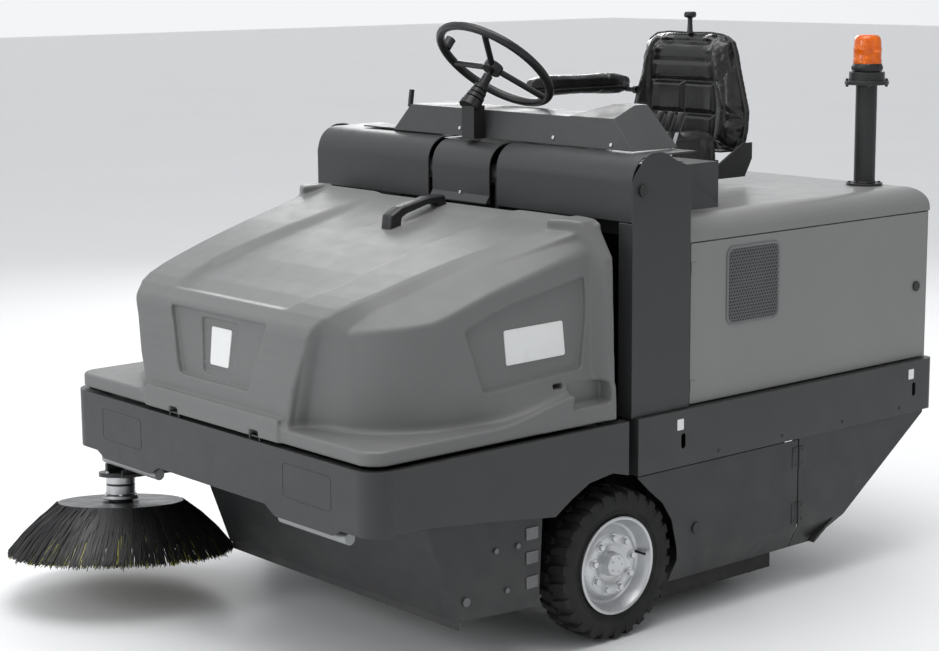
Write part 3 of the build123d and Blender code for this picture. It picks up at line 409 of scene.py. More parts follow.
def fix(o):
    bm = bmesh.new()
    bm.from_mesh(o.data)
    bmesh.ops.remove_doubles(bm, verts=bm.verts, dist=1e-6)
    bmesh.ops.recalc_face_normals(bm, faces=bm.faces)
    bm.to_mesh(o.data)
    bm.free()
    o.data.update()
    return o


def arcp(cx, cy, r, a0, a1, n):
    return [(cx + r * math.cos(math.radians(a0 + (a1 - a0) * i / n)), cy + r * math.sin(math.radians(a0 + (a1 - a0) * i / n))) for i in range(n + 1)]


def slab(poly, h0, h1, r=0.002, seg=3):
    """Closed polygon in (u, v) thickened from h0 to h1 with a rounded front edge. Returns (u, v, h) vertices and faces."""
    p = np.array(poly, float)
    if 0.5 * np.sum(p[:, 0] * np.roll(p[:, 1], -1) - np.roll(p[:, 0], -1) * p[:, 1]) < 0:
        p = p[::-1]
    n = len(p)
    nxt, prv = np.roll(p, -1, 0), np.roll(p, 1, 0)
    e1, e2 = nxt - p, p - prv
    n1 = np.stack([e1[:, 1], -e1[:, 0]], 1) / np.linalg.norm(e1, axis=1)[:, None]
    n2 = np.stack([e2[:, 1], -e2[:, 0]], 1) / np.linalg.norm(e2, axis=1)[:, None]
    nn = n1 + n2
    nn /= np.maximum(np.sum(nn * n1, 1), 0.3)[:, None]
    rings = [(p, h0)]
    for k in range(seg + 1):
        a = math.pi / 2 * k / seg
        rings.append((p - nn * r * (1 - math.cos(a)), h1 - r * (1 - math.sin(a)) if h1 > h0 else h1 + r * (1 - math.sin(a))))
    v = [(q[0], q[1], h) for ring, h in rings for q in ring]
    f = []
    for k in range(len(rings) - 1):
        for i in range(n):
            j = (i + 1) % n
            f.append((k * n + i, k * n + j, (k + 1) * n + j, (k + 1) * n + i))
    f.append(tuple(range((len(rings) - 1) * n, len(rings) * n)))
    f.append(tuple(range(n))[::-1])
    return v, f


def round_poly(pts, r, seg=5):
    out = []
    n = len(pts)
    for i in range(n):
        p, a, b = (np.array(pts[k % n], float) for k in (i, i - 1, i + 1))
        u, w = (a - p) / np.linalg.norm(a - p), (b - p) / np.linalg.norm(b - p)
        th = math.acos(max(-1, min(1, float(u @ w))))
        d = min(r / math.tan(th / 2), 0.49 * np.linalg.norm(a - p), 0.49 * np.linalg.norm(b - p))
        for k in range(seg + 1):
            t = k / seg
            q = (1 - t) ** 2 * (p + u * d) + 2 * t * (1 - t) * p + t * t * (p + w * d)
            out.append(tuple(q))
    return out


# ---- front hood: a shell from an implicit surface ---------------------------
def smooth01(x, a, b):
    t = np.clip((x - a) / (b - a), 0, 1)
    return t * t * (3 - 2 * t)


def smin(a, b, k):
    h = np.clip(0.5 + 0.5 * (b - a) / k, 0, 1)
    return b + (a - b) * h - k * h * (1 - h)


def smax(a, b, k):
    return -smin(-a, -b, k)


Y_S = [.012, .016, .021, .029, .036, .04, .05, .08, .12, .18, .25, .35, .45, .55, .65, .75, .85, .93]
Z_S = [.75, .80, .85, .90, .95, 1.00, 1.021, 1.049, 1.070, 1.091, 1.111, 1.142, 1.169, 1.194, 1.215, 1.236, 1.254, 1.275]
Y_W = [.01, .04, .05, .08, .12, .18, .25, .35, .45, .55, .65, .75, .85, .93]
W_W = [.438, .445, .453, .470, .485, .501, .518, .530, .544, .559, .578, .598, .625, .650]
Y_D = [.0, .06, .12, .206, .361, .542, .646, .751, .818, .88]
D_D = [.061, .061, .061, .038, .035, .026, .022, .018, .012, .006]
Y_R = [.0, .12, .20, .30, .342, .398, .496, .634, .768, .881, .93]
Z_R = [1.00, 1.015, 1.024, 1.036, 1.048, 1.066, 1.098, 1.132, 1.165, 1.187, 1.196]


def poly_sdf(poly, u, v):
    """Signed distance to a convex polygon, negative inside."""
    d = None
    p = np.array(poly, float)
    if 0.5 * np.sum(p[:, 0] * np.roll(p[:, 1], -1) - np.roll(p[:, 0], -1) * p[:, 1]) < 0:
        p = p[::-1]
    for i in range(len(p)):
        a, b = p[i], p[(i + 1) % len(p)]
        e = (b - a) / np.linalg.norm(b - a)
        s = (u - a[0]) * e[1] - (v - a[1]) * e[0]
        d = s if d is None else smax(d, s, 0.012)
    return d


def hood_field(X, Y, Z):
    ax = np.abs(X)
    zt = np.interp(Y, Y_S, Z_S)
    w = np.interp(Y, Y_W, W_W)
    drop = np.interp(Y, Y_D, D_D)
    yf = np.interp(Z, Z_S[:6] + [1.3], [.022, .022, .024, .030, .036, .04, .06])
    # top of the centre with its shallow hollow and the pocket round the handle
    zc = zt - 0.020 * (1 - smooth01(ax, np.interp(Y, [.07, .25, .5, .9], [.255, .300, .290, .27]), np.interp(Y, [.07, .25, .5, .9], [.292, .345, .345, .365]))) * smooth01(Y, 0.075, 0.12)
    zc = zc - 0.020 * (1 - smooth01(ax, 0.075, 0.105)) * smooth01(Y, 0.655, 0.70)
    front = (yf - Y) * 0.99
    slope = ((ax - w) * drop + (Z - zt) * 0.04) / np.sqrt(drop * drop + 0.0016)
    s = smooth01(Y, 0.07, 0.14)
    W = w - 0.27 * np.clip(1.0 - Z, 0, 0.3) * (1 - s) + 0.06 * s
    wedge = ax - W
    centre = smax(smax(smax((Z - zc) * 0.96, slope, 0.006), wedge, 0.010), front, 0.010)
    # sunk panel, pocket for the plate and the two strong lines of the nose
    nose = poly_sdf([(-.248, 1.004), (.248, 1.004), (.178, .806), (-.178, .806)], X, Z)
    centre = smax(centre, -smax(nose, Y - yf - 0.015, 0.002), 0.003)
    pocket = poly_sdf([(-.098, .985), (.098, .985), (.070, .822), (-.070, .822)], X, Z)
    centre = smax(centre, -smax(pocket, Y - yf - 0.024, 0.002), 0.003)
    # lower body: quarter-round bulge, flaring side, sloping top
    t = 0.2925
    plan = np.where(Y < 0.385, np.hypot(np.clip(ax - 0.40, 0, None), Y - 0.385) - t, ax - (0.6925 + (Y - 0.385) * 0.05))
    flare = 0.052 * smooth01(Y, 0.40, 0.66) * np.clip((0.86 - Z) / 0.13, 0, 1) ** 1.6
    plan = plan - flare
    rim = np.where(Y < 0.385, 0.40 + np.sqrt(np.clip(t * t - (Y - 0.385) ** 2, 0, None)), 0.6925 + (Y - 0.385) * 0.05)
    zi = zt - drop
    zr = np.interp(Y, Y_R, Z_R)
    tt = np.clip((ax - w - 0.04) / np.clip(rim - w - 0.04, 0.02, None), 0, 1.15)
    zl = zi + (zr - zi) * tt
    lower = smax(plan, (Z - zl) * 0.97, 0.014)
    panel = poly_sdf([(.408, 1.000), (.533, 1.051), (.728, 1.092), (.848, 1.113), (.856, 1.013), (.835, .842), (.476, .814)], Y, Z)
    lower = smax(lower, -smax(panel, -(plan + 0.016), 0.002), 0.004)
    body = smin(centre, lower, 0.006)
    # low step at the foot of the nose
    step = smax(smax(ax - 0.345, Z - 0.752, 0.006), 0.0045 - Y, 0.006)
    step = smax(step, Y - 0.2, 0.01)
    body = smin(body, step, 0.008)
    # rear pillar with its slanted front face
    xo = np.interp(Z, [0.684, 1.165, 1.272, 1.3], [0.773, 0.757, 0.690, 0.660])
    face = ((0.868 + (ax - 0.715) * 0.62) - Y) * 0.85
    pil = smax(smax(ax - xo, face, 0.008), 0.60 - ax, 0.01)
    pil = smax(pil, Z - np.interp(ax, [0.6, 0.65, 0.69, 0.76], [1.277, 1.276, 1.272, 1.165]), 0.010)
    body = smin(body, pil, 0.008)
    # flange round the foot
    cx, cy0 = 0.770 - 0.066, 0.010 + 0.066
    fl = np.where(Y < cy0, np.hypot(np.clip(ax - cx, 0, None), Y - cy0) - 0.066, ax - 0.770)
    zf = 0.727 + 0.055 * smooth01(Y, 0.45, 0.82)
    zf = zf - 0.0 * Z
    flg = smax(fl, Z - zf - 0.10 * np.clip(0.0, 0, 1), 0.010)
    body = smin(body, flg, 0.022)
    grip = poly_sdf([(.752, .737), (.905, .737), (.905, .800), (.775, .812)], Y, Z)
    body = smax(body, -smax(grip, 0.722 - ax, 0.004), 0.006)
    body = smax(body, Y - 0.9235, 0.006)
    # hinge notches at the front edge
    for hx in (-0.190, 0.230):
        notch = np.maximum(np.maximum(np.abs(X - hx) - 0.022, Y - 0.026), Z - 0.703)
        body = smax(body, -notch, 0.003)
    # side slots near the grip
    slot = np.maximum(np.maximum(np.abs(Y - 0.735) - 0.018, np.abs(Z - 0.802) - 0.007), 0.66 - ax)
    body = smax(body, -slot, 0.003)
    return body


def surface_nets(F, origin, h):
    """Naive surface nets on a regular grid: one vertex in each cell the surface crosses."""
    s = F < 0
    cx = s[:-1, :-1, :-1].astype(np.int8)
    cnt = cx.copy()
    for dx in (0, 1):
        for dy in (0, 1):
            for dz in (0, 1):
                if dx + dy + dz:
                    cnt += s[dx:s.shape[0] - 1 + dx, dy:s.shape[1] - 1 + dy, dz:s.shape[2] - 1 + dz]
    act = (cnt > 0) & (cnt < 8)
    idx = np.full(act.shape, -1, np.int64)
    cells = np.argwhere(act)
    idx[act] = np.arange(len(cells))
    acc = np.zeros((len(cells), 3))
    num = np.zeros(len(cells))
    corners = [(dx, dy, dz) for dx in (0, 1) for dy in (0, 1) for dz in (0, 1)]
    val = {c: F[cells[:, 0] + c[0], cells[:, 1] + c[1], cells[:, 2] + c[2]] for c in corners}
    for a in corners:
        for ax in range(3):
            if a[ax]:
                continue
            b = list(a)
            b[ax] = 1
            va, vb = val[a], val[tuple(b)]
            cross = (va < 0) != (vb < 0)
            tt = np.where(cross, va / np.where(cross, va - vb, 1), 0)
            p = np.tile(np.array(a, float), (len(cells), 1))
            p[:, ax] += tt
            acc += np.where(cross[:, None], p, 0)
            num += cross
    V = (cells + acc / num[:, None]) * h + origin
    quads = []
    for ax in range(3):
        sl0, sl1 = [slice(None)] * 3, [slice(None)] * 3
        sl0[ax], sl1[ax] = slice(0, -1), slice(1, None)
        a, b = s[tuple(sl0)], s[tuple(sl1)]
        e = np.argwhere(a != b)
        u, v = [(1, 2), (2, 0), (0, 1)][ax]
        ok = (e[:, u] > 0) & (e[:, v] > 0) & (e[:, u] < s.shape[u] - 1) & (e[:, v] < s.shape[v] - 1)
        e = e[ok]
        flip = ~a[tuple(e.T)]

        def at(du, dv):
            q = e.copy()
            q[:, u] -= du
            q[:, v] -= dv
            return idx[tuple(q.T)]

        q = np.stack([at(1, 1), at(0, 1), at(0, 0), at(1, 0)], 1)
        q[flip] = q[flip][:, ::-1]
        quads.append(q)
    return V, np.concatenate(quads)


def make_hood():
    h = 0.0045
    lo = np.array([-0.800, -0.010, 0.665])
    hi = np.array([0.800, 0.945, 1.300])
    n = np.ceil((hi - lo) / h).astype(int) + 1
    ax = [(lo[i] + h * np.arange(n[i])).astype(np.float32) for i in range(3)]
    X, Y, Z = np.meshgrid(ax[0], ax[1], ax[2], indexing="ij", sparse=True)
    F = np.broadcast_to(hood_field(X + 0 * Y + 0 * Z, Y + 0 * X + 0 * Z, Z + 0 * X + 0 * Y), n).copy()
    g = np.gradient(F, h)
    F = F / np.clip(np.sqrt(g[0] ** 2 + g[1] ** 2 + g[2] ** 2), 0.6, 3.0)
    del g
    shell = np.maximum(F, -(F + 0.017))
    shell = np.maximum(shell, 0.6845 - Z)
    V, Q = surface_nets(shell, lo, h)
    o = put("hood_shell", V, Q, [HOOD], None, smooth=True)
    bm = bmesh.new()
    bm.from_mesh(o.data)
    for _ in range(1):
        bmesh.ops.smooth_vert(bm, verts=bm.verts, factor=0.4, use_axis_x=True, use_axis_y=True, use_axis_z=True)
    bm.to_mesh(o.data)
    bm.free()
    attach(o, "front_hood")
    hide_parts("front_hood")
    return o


make_hood()


def plate_on(name, pts3, normal, thick, mat, body, r=0.008, inset=None):
    """A blank plate with rounded corners on four points of a face."""
    p = np.array(pts3, float)
    nrm = np.array(normal, float)
    nrm /= np.linalg.norm(nrm)
    c = p.mean(0)
    u = (p[1] - p[0]) / np.linalg.norm(p[1] - p[0])
    u -= nrm * (u @ nrm)
    u /= np.linalg.norm(u)
    v = np.cross(nrm, u)
    uv = [((q - c) @ u, (q - c) @ v) for q in p]
    vs, fs = slab(round_poly(uv, r), -0.002, thick, 0.0012)
    V = [c + u * a + v * b + nrm * h for a, b, h in vs]
    o = put(name, V, fs, [mat], body, angle=35)
    fix(o)
    return o


for sgn, tag in ((1, "left"), (-1, "right")):
    pts = []
    for (y, z) in ((.556, .984), (.775, .990), (.786, .887), (.566, .881)):
        x = 0.6925 + (y - 0.385) * 0.05 - 0.016
        pts.append((sgn * x, y, z))
    plate_on("side_plate_" + tag, pts, (sgn, -0.05, 0), 0.003, WHITE, "front_hood")
pts = [(x, np.interp(z, Z_S[:6], [.022, .022, .024, .030, .036, .04]) + 0.0245, z) for x, z in ((-.052, .962), (.052, .962), (.047, .850), (-.047, .850))]
plate_on("nose_plate", pts, (0, -1, 0.12), 0.003, WHITE, "front_hood")


def handle():
    lo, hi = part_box("hood_handle")
    x0, x1 = lo.x + OX - 0.004, hi.x + OX + 0.004
    side = [(.641, 1.204), (.648, 1.258), (.690, 1.281), (.800, 1.304), (.868, 1.306), (.880, 1.258), (.848, 1.254), (.838, 1.280), (.800, 1.280),
            (.712, 1.257), (.692, 1.246), (.688, 1.204)]
    side = [(q[0] + 0.034, q[1] - 0.014) for q in side]
    side = round_poly(side, 0.008, 4)
    n = len(side)
    p = np.array(side)
    c = p.mean(0)
    rings = []
    for x, k in ((x0, .010), (x0 + .002, .004), (x0 + .008, 0), (x1 - .008, 0), (x1 - .002, .004), (x1, .010)):
        nx, pr = np.roll(p, -1, 0), np.roll(p, 1, 0)
        tn = nx - pr
        nn = np.stack([tn[:, 1], -tn[:, 0]], 1) / np.maximum(np.linalg.norm(tn, axis=1), 1e-9)[:, None]
        area_ = np.sum(p[:, 0] * nx[:, 1] - nx[:, 0] * p[:, 1])
        if area_ < 0:
            nn = -nn
        rings.append((x, p - nn * k * 0.5))
    v = [(x, q[0], q[1]) for x, r in rings for q in r]
    f = []
    for k in range(len(rings) - 1):
        for i in range(n):
            j = (i + 1) % n
            f.append((k * n + i, k * n + j, (k + 1) * n + j, (k + 1) * n + i))
    f.append(tuple(range(n)))
    f.append(tuple(range((len(rings) - 1) * n, len(rings) * n))[::-1])
    o = fix(put("hood_grip", v, f, [PLASTIC], "front_hood", angle=50))
    bm = bmesh.new()
    bm.from_mesh(o.data)
    bmesh.ops.triangulate(bm, faces=[q for q in bm.faces if len(q.verts) > 4])
    bm.to_mesh(o.data)
    bm.free()
    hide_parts("hood_handle")


handle()


# ---- tyres and wheels -------------------------------------------------------
def tyre(name, node, body, lugs=26, wide=True):
    lo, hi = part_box(node)
    cx, cy, cz = (lo.x + hi.x) / 2 + OX, (lo.y + hi.y) / 2 + OY, (lo.z + hi.z) / 2
    W, R = (hi.x - lo.x) / 2, (hi.z - lo.z) / 2
    rin = 0.146 if wide else R - 0.080
    Rt = R - 0.013
    prof = []
    for s in (-1, 1):
        side = [(s * (W * 0.74), rin - 0.004), (s * W * 0.80, rin + 0.004), (s * W * 0.90, rin + 0.016), (s * W * 0.965, rin + (Rt - rin) * 0.42),
                (s * W * 0.985, rin + (Rt - rin) * 0.60), (s * W * 0.95, Rt - 0.012), (s * W * 0.90, Rt - 0.004), (s * W * 0.80, Rt)]
        prof += side if s < 0 else side[::-1]
    prof += [(W * 0.5, rin - 0.010), (-W * 0.5, rin - 0.010)]
    A = Acc()
    v, f = lathe(prof, (cx, cy, cz), "x", 120)
    A.add(v, f)
    # moulded rings on the side wall
    for s in (-1, 1):
        for rr, ww in ((rin + 0.022, 0.0022), (rin + 0.030, 0.0022)):
            v, f = lathe([(s * W * 0.90, rr - ww), (s * W * 0.955, rr - ww * 0.6), (s * W * 0.955, rr + ww * 0.6), (s * W * 0.90, rr + ww)], (cx, cy, cz), "x", 96)
            A.add(v, f)
    # shoulder lugs, one row each side, staggered, joined in a zigzag over the crown
    for s in (-1, 1):
        for k in range(lugs):
            a0 = 2 * math.pi * (k + (0.5 if s > 0 else 0)) / lugs
            half = math.pi / lugs * 0.66
            # outline of the lug in (across, angle)
            pts = [(0.985, -half * 0.92), (0.985, half * 0.80), (0.50, half * 0.62), (0.12, half * 0.98), (-0.06, half * 0.55), (0.10, -half * 0.30), (0.46, -half * 0.60)]
            vs = []
            for lev, shrink, rad in ((0, 1.0, None), (1, 0.97, None), (2, 0.88, None)):
                for (t, a) in pts:
                    tt, aa = (t - 0.5) * shrink + 0.5, a * shrink
                    edge_drop = max(0.0, tt - 0.80) * 0.05
                    r_ = (Rt - 0.004, R - 0.0025, R)[lev] - edge_drop * (1 if lev else 0)
                    if tt > 0.95 and lev == 0:
                        r_ = rin + (Rt - rin) * 0.55
                    x_ = s * min(abs(tt), 0.995) * W * (1 if tt >= 0 else -1)
                    vs.append((cx + x_, cy + r_ * math.cos(a0 + aa), cz + r_ * math.sin(a0 + aa)))
            n = len(pts)
            fs = []
            for l in (0, 1):
                for i in range(n):
                    j = (i + 1) % n
                    q = (l * n + i, l * n + j, (l + 1) * n + j, (l + 1) * n + i)
                    fs.append(q)
            fs.append(tuple(range(2 * n, 3 * n)))
            fs.append(tuple(range(n))[::-1])
            A.add(vs, fs)
    o = fix(A.done(name, [TYRE], body, 32))
    return o, (cx, cy, cz, W, R, rin)


def bolt(A, c, ax, r, h, mid=0, washer=True, dome=False):
    """Hexagon head with a washer; ax is the unit direction it faces."""
    ax = np.array(ax, float)
    u = np.cross(ax, (0, 0, 1.0)) if abs(ax[2]) < 0.9 else np.cross(ax, (1.0, 0, 0))
    u /= np.linalg.norm(u)
    w = np.cross(ax, u)
    c = np.array(c, float)
    rings = []
    if washer:
        rings += [(1.45 * r, 0, 24), (1.45 * r, 0.16 * h, 24)]
    seg = 24
    prof = []
    if washer:
        prof += [(1.5 * r, 0.0, 0), (1.5 * r, 0.14 * h, 0), (1.42 * r, 0.2 * h, 0)]
    prof += [(r, 0.2 * h if washer else 0, 1), (r, 0.82 * h, 1), (r * 0.86, h, 0.6), (0.0, h if not dome else 1.25 * h, 0)]
    v, f = [], []
    for (rr, t, hexy) in prof:
        for i in range(seg):
            a = 2 * math.pi * i / seg
            k = math.cos(math.pi / 6) / math.cos(((a + math.pi / 6) % (math.pi / 3)) - math.pi / 6)
            q = rr * ((1 - hexy) + hexy * k)
            v.append(tuple(c + ax * t + u * q * math.cos(a) + w * q * math.sin(a)))
    for k in range(len(prof) - 1):
        for i in range(seg):
            j = (i + 1) % seg
            f.append((k * seg + i, k * seg + j, (k + 1) * seg + j, (k + 1) * seg + i))
    A.add(v, f, mid)


def rim(name, node, body, side, geo, nb=9):
    cx, cy, cz, W, R, rin = geo
    A = Acc()
    s = side
    # dish: outer lip, barrel, disc with raised ring, centre boss
    prof = [(0.058, 0.146), (0.0625, 0.150), (0.0640, 0.146), (0.0625, 0.1405), (0.056, 0.138), (0.046, 0.1325), (0.032, 0.129), (0.022, 0.124), (0.018, 0.117),
            (0.024, 0.110), (0.034, 0.102), (0.0385, 0.092), (0.0385, 0.068), (0.034, 0.060), (0.030, 0.052), (0.030, 0.038), (0.036, 0.0365), (0.056, 0.0345),
            (0.060, 0.031), (0.061, 0.010), (0.061, 0.0)]
    prof = [(s * t, r) for t, r in prof]
    v, f = lathe(prof, (cx, cy, cz), "x", 128, closed=False)
    A.add(v, f, 0)
    back = [(s * 0.058, 0.146), (s * 0.02, 0.139), (-s * 0.050, 0.139), (-s * 0.060, 0.148), (-s * 0.060, 0.142), (-s * 0.048, 0.130), (-s * 0.010, 0.126), (s * 0.014, 0.112),
            (s * 0.020, 0.060), (s * 0.0, 0.045), (-s * 0.01, 0.0)]
    v, f = lathe(back, (cx, cy, cz), "x", 96, closed=False)
    A.add(v, f, 0)
    for k in range(nb):
        a = 2 * math.pi * (k + 0.25) / nb
        c = (cx + s * 0.0380, cy + 0.080 * math.cos(a), cz + 0.080 * math.sin(a))
        bolt(A, c, (s, 0, 0), 0.0105, 0.014, 1)
    for k in range(5):
        a = 2 * math.pi * k / 5
        c = (cx + s * 0.0605, cy + 0.022 * math.cos(a), cz + 0.022 * math.sin(a))
        bolt(A, c, (s, 0, 0), 0.0034, 0.004, 1, washer=False)
    # valve stem
    v, f = lathe([(s * 0.020, 0.0), (s * 0.020, 0.0042), (s * 0.046, 0.0036), (s * 0.052, 0.0042), (s * 0.060, 0.0042), (s * 0.062, 0.0)], (cx, cy + 0.118, cz + 0.012), "x", 16, closed=False)
    A.add(v, f, 2)
    o = fix(A.done(name, [RIMM, ZINC, PLASTIC], body, 32))
    return o


for tag, s in (("left", 1), ("right", -1)):
    o, geo = tyre("tread_front_" + tag, "tyre_front_" + tag, "front_wheel_" + tag)
    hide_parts("tyre_front_" + tag)
    r = rim("wheel_front_" + tag, "rim_front_" + tag, "front_wheel_" + tag, s, geo)
    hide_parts("rim_front_" + tag)
o, geo = tyre("tread_rear", "rear_wheel", "rear_wheel", lugs=28)
A = Acc()
cx, cy, cz, W, R, rin = geo
for s in (-1, 1):
    pr = [(0.052, rin + 0.001), (0.057, rin - 0.001), (0.056, rin - 0.007), (0.040, rin - 0.014), (0.024, rin - 0.022), (0.022, rin - 0.050), (0.030, 0.060), (0.032, 0.045),
          (0.046, 0.040), (0.050, 0.034), (0.050, 0.017), (0.0, 0.0165)]
    v, f = lathe([(s * t, r) for t, r in pr], (cx, cy, cz), "x", 96, closed=False)
    A.add(v, f)
    for k in range(6):
        a = 2 * math.pi * k / 6
        bolt(A, (cx + s * 0.026, cy + 0.072 * math.cos(a), cz + 0.072 * math.sin(a)), (s, 0, 0), 0.009, 0.012, 1)
o2 = fix(A.done("wheel_rear", [RIMM, ZINC], "rear_wheel", 32))
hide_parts("rear_wheel")


# ---- side brush -------------------------------------------------------------
def strand(A, p0, p1, p2, r0, r1, seg=3, sides=3, mid=0):
    """A thin bent bristle from p0 past p1 to p2."""
    p0, p1, p2 = (np.array(p, float) for p in (p0, p1, p2))
    n0 = len(A.v)
    v = []
    for k in range(seg + 1):
        t = k / seg
        c = (1 - t) ** 2 * p0 + 2 * t * (1 - t) * p1 + t * t * p2
        d = 2 * (1 - t) * (p1 - p0) + 2 * t * (p2 - p1)
        d /= np.linalg.norm(d)
        u = np.cross(d, (0.31, 0.52, 0.80))
        u /= np.linalg.norm(u)
        w = np.cross(d, u)
        r = r0 + (r1 - r0) * t
        for i in range(sides):
            a = 2 * math.pi * i / sides
            v.append(tuple(c + r * (u * math.cos(a) + w * math.sin(a))))
    f = []
    for k in range(seg):
        for i in range(sides):
            j = (i + 1) % sides
            f.append((k * sides + i, k * sides + j, (k + 1) * sides + j, (k + 1) * sides + i))
    f.append(tuple(range(seg * sides, (seg + 1) * sides)))
    A.add(v, f, mid)


def side_brush():
    lo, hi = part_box("side_brush_disc")
    dc = Vector(((lo.x + hi.x) / 2 + OX, (lo.y + hi.y) / 2 + OY, (lo.z + hi.z) / 2))
    t = math.radians(8.1)
    dr = np.array([-0.755, 0.656, 0.0])
    # axis leans so that the outer rear side is lower
    up = np.array([0, 0, 1.0]) * math.cos(t) + dr * math.sin(t)
    up /= np.linalg.norm(up)
    return dc, up


def side_frame():
    t = math.radians(8.1)
    n = np.array([-0.755 * math.sin(t), 0.656 * math.sin(t), math.cos(t)])
    n /= np.linalg.norm(n)
    u = np.cross((0, 1.0, 0), n)
    u /= np.linalg.norm(u)
    v = np.cross(n, u)
    o = np.array([-0.658, 0.090, 0.310])
    return o, u, v, n


SO, SU, SV, SN = side_frame()


def sb(x, y, z):
    return SO + SU * x + SV * y + SN * z


def side_bristles():
    A = Acc()
    rows = 84
    rng = np.random.default_rng(11)
    for k in range(rows):
        a0 = 2 * math.pi * k / rows
        for ring, (r0, r1) in enumerate(((0.196, 0.357), (0.182, 0.346), (0.166, 0.330))):
            yellow = ring > 0
            for j in range(17 if ring == 0 else 13):
                a = a0 + rng.normal(0, 0.022) + ring * 0.03
                b = a + rng.normal(0, 0.050) - 0.05
                q0 = r0 + rng.normal(0, 0.004)
                L = min(r1 + rng.normal(0, 0.009), 0.3595)
                drop = -0.166 - 0.003 * ring + rng.normal(0, 0.005)
                p0 = sb(q0 * math.cos(a), q0 * math.sin(a), -0.008 - 0.006 * ring)
                p2 = sb(L * math.cos(b), L * math.sin(b), drop)
                mid = ((q0 + L) / 2 + 0.012)
                p1 = sb(mid * math.cos((a + b) / 2), mid * math.sin((a + b) / 2), drop * 0.43)
                isy = yellow and rng.random() < (0.22 if ring == 1 else 0.5)
                strand(A, p0, p1, p2, 0.0019, 0.0013, 3, 3, 1 if isy else 0)
    # dense inner fill so that no light shows through the crown
    o = A.done("side_bristles", [BRIST, BRISY], "side_brush", 60)
    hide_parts("side_brush_bristles")
    # backing cone inside the strands
    A = Acc()
    seg = 96
    prof = [(0.188, -0.014), (0.214, -0.040), (0.250, -0.075), (0.292, -0.120), (0.280, -0.122), (0.236, -0.080), (0.200, -0.045), (0.170, -0.018)]
    v, f = [], []
    n = len(prof)
    for i in range(seg):
        a = 2 * math.pi * i / seg
        for (r, z) in prof:
            rr = r * (1 + 0.012 * math.sin(31 * a))
            v.append(tuple(sb(rr * math.cos(a), rr * math.sin(a), z)))
    for i in range(seg):
        j = (i + 1) % seg
        for k in range(n):
            l = (k + 1) % n
            f.append((i * n + k, i * n + l, j * n + l, j * n + k))
    A.add(v, f)
    fix(A.done("side_bristle_roots", [BRIST], "side_brush", 60))


side_bristles()


def side_motor():
    """Hydraulic motor and its bright flange with screws, on the arm."""
    A = Acc()

    def turn(prof, mid, seg=64):
        v, f = [], []
        n = len(prof)
        for i in range(seg):
            a = 2 * math.pi * i / seg
            for (r, z) in prof:
                v.append(tuple(sb(r * math.cos(a), r * math.sin(a), z)))
        for i in range(seg):
            j = (i + 1) % seg
            for k in range(n - 1):
                f.append((i * n + k, i * n + k + 1, j * n + k + 1, j * n + k))
        A.add(v, f, mid)

    turn([(0.0, 0.0145), (0.052, 0.0145), (0.0585, 0.0125), (0.0590, 0.004), (0.055, 0.002)], 0)
    turn([(0.0, 0.076), (0.044, 0.076), (0.0470, 0.073), (0.0470, 0.052), (0.0455, 0.050), (0.0455, 0.046), (0.0470, 0.044), (0.0470, 0.018), (0.040, 0.0145)], 0)
    for k in range(6):
        a = 2 * math.pi * (k + 0.5) / 6
        bolt(A, sb(0.0525 * math.cos(a), 0.0525 * math.sin(a), 0.0143), SN, 0.0048, 0.005, 1, washer=False)
    for k in range(4):
        a = 2 * math.pi * (k + 0.2) / 4
        bolt(A, sb(0.061 * math.cos(a), 0.061 * math.sin(a), 0.0890), SN, 0.006, 0.006, 1)
    fix(A.done("side_motor_shell", [ZINC, CHROME], "side_brush_arm", 35))


side_motor()


def main_brush():
    lo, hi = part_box("main_brush")
    cx, cy, cz = 0.0, (lo.y + hi.y) / 2 + OY, (lo.z + hi.z) / 2
    R = (hi.z - lo.z) / 2
    L = (hi.x - lo.x) / 2
    A = Acc()
    v, f = lathe([(-L, 0.0), (-L, 0.085), (-L + 0.01, 0.092), (L - 0.01, 0.092), (L, 0.085), (L, 0.0)], (cx, cy, cz), "x", 48, closed=False)
    A.add(v, f, 2)
    rng = np.random.default_rng(5)
    rows, per = 10, (88)
    for k in range(rows):
        for j in range(per):
            t = (j + 0.5) / per
            x = cx - L + 0.012 + (2 * L - 0.024) * t
            vee = abs(t - 0.5) * 2
            for q in range(3):
                a = 2 * math.pi * k / rows + vee * 1.1 + rng.normal(0, 0.035)
                b = a + rng.normal(0, 0.06)
                xx = x + rng.normal(0, 0.003)
                x2 = max(-L + 0.004, min(L - 0.004, xx + rng.normal(0, 0.006)))
                rr = R - abs(rng.normal(0, 0.003))
                p0 = (xx, cy + 0.088 * math.cos(a), cz + 0.088 * math.sin(a))
                p2 = (x2, cy + rr * math.cos(b), cz + rr * math.sin(b))
                p1 = tuple((p0[i] + p2[i]) / 2 for i in range(3))
                strand(A, p0, p1, p2, 0.0016, 0.0013, 2, 3, 1 if (k % 5 == 2 and rng.random() < 0.5) else 0)
    o = A.done("sweeping_roller", [BRIST, BRISY, PLASTIC], "main_brush", 50)
    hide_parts("main_brush")


main_brush()


# ---- seat: cloth-filled vinyl ----------------------------------------------
def loft_pad(outline, thick_fn, res):
    """Start shape of a pad: outline in (u, v) as a closed mesh in (u, v, h), 0 to 1 thick; the thickness function is
    not used.
    """
    return slab(outline, 0, 1, 0.01)


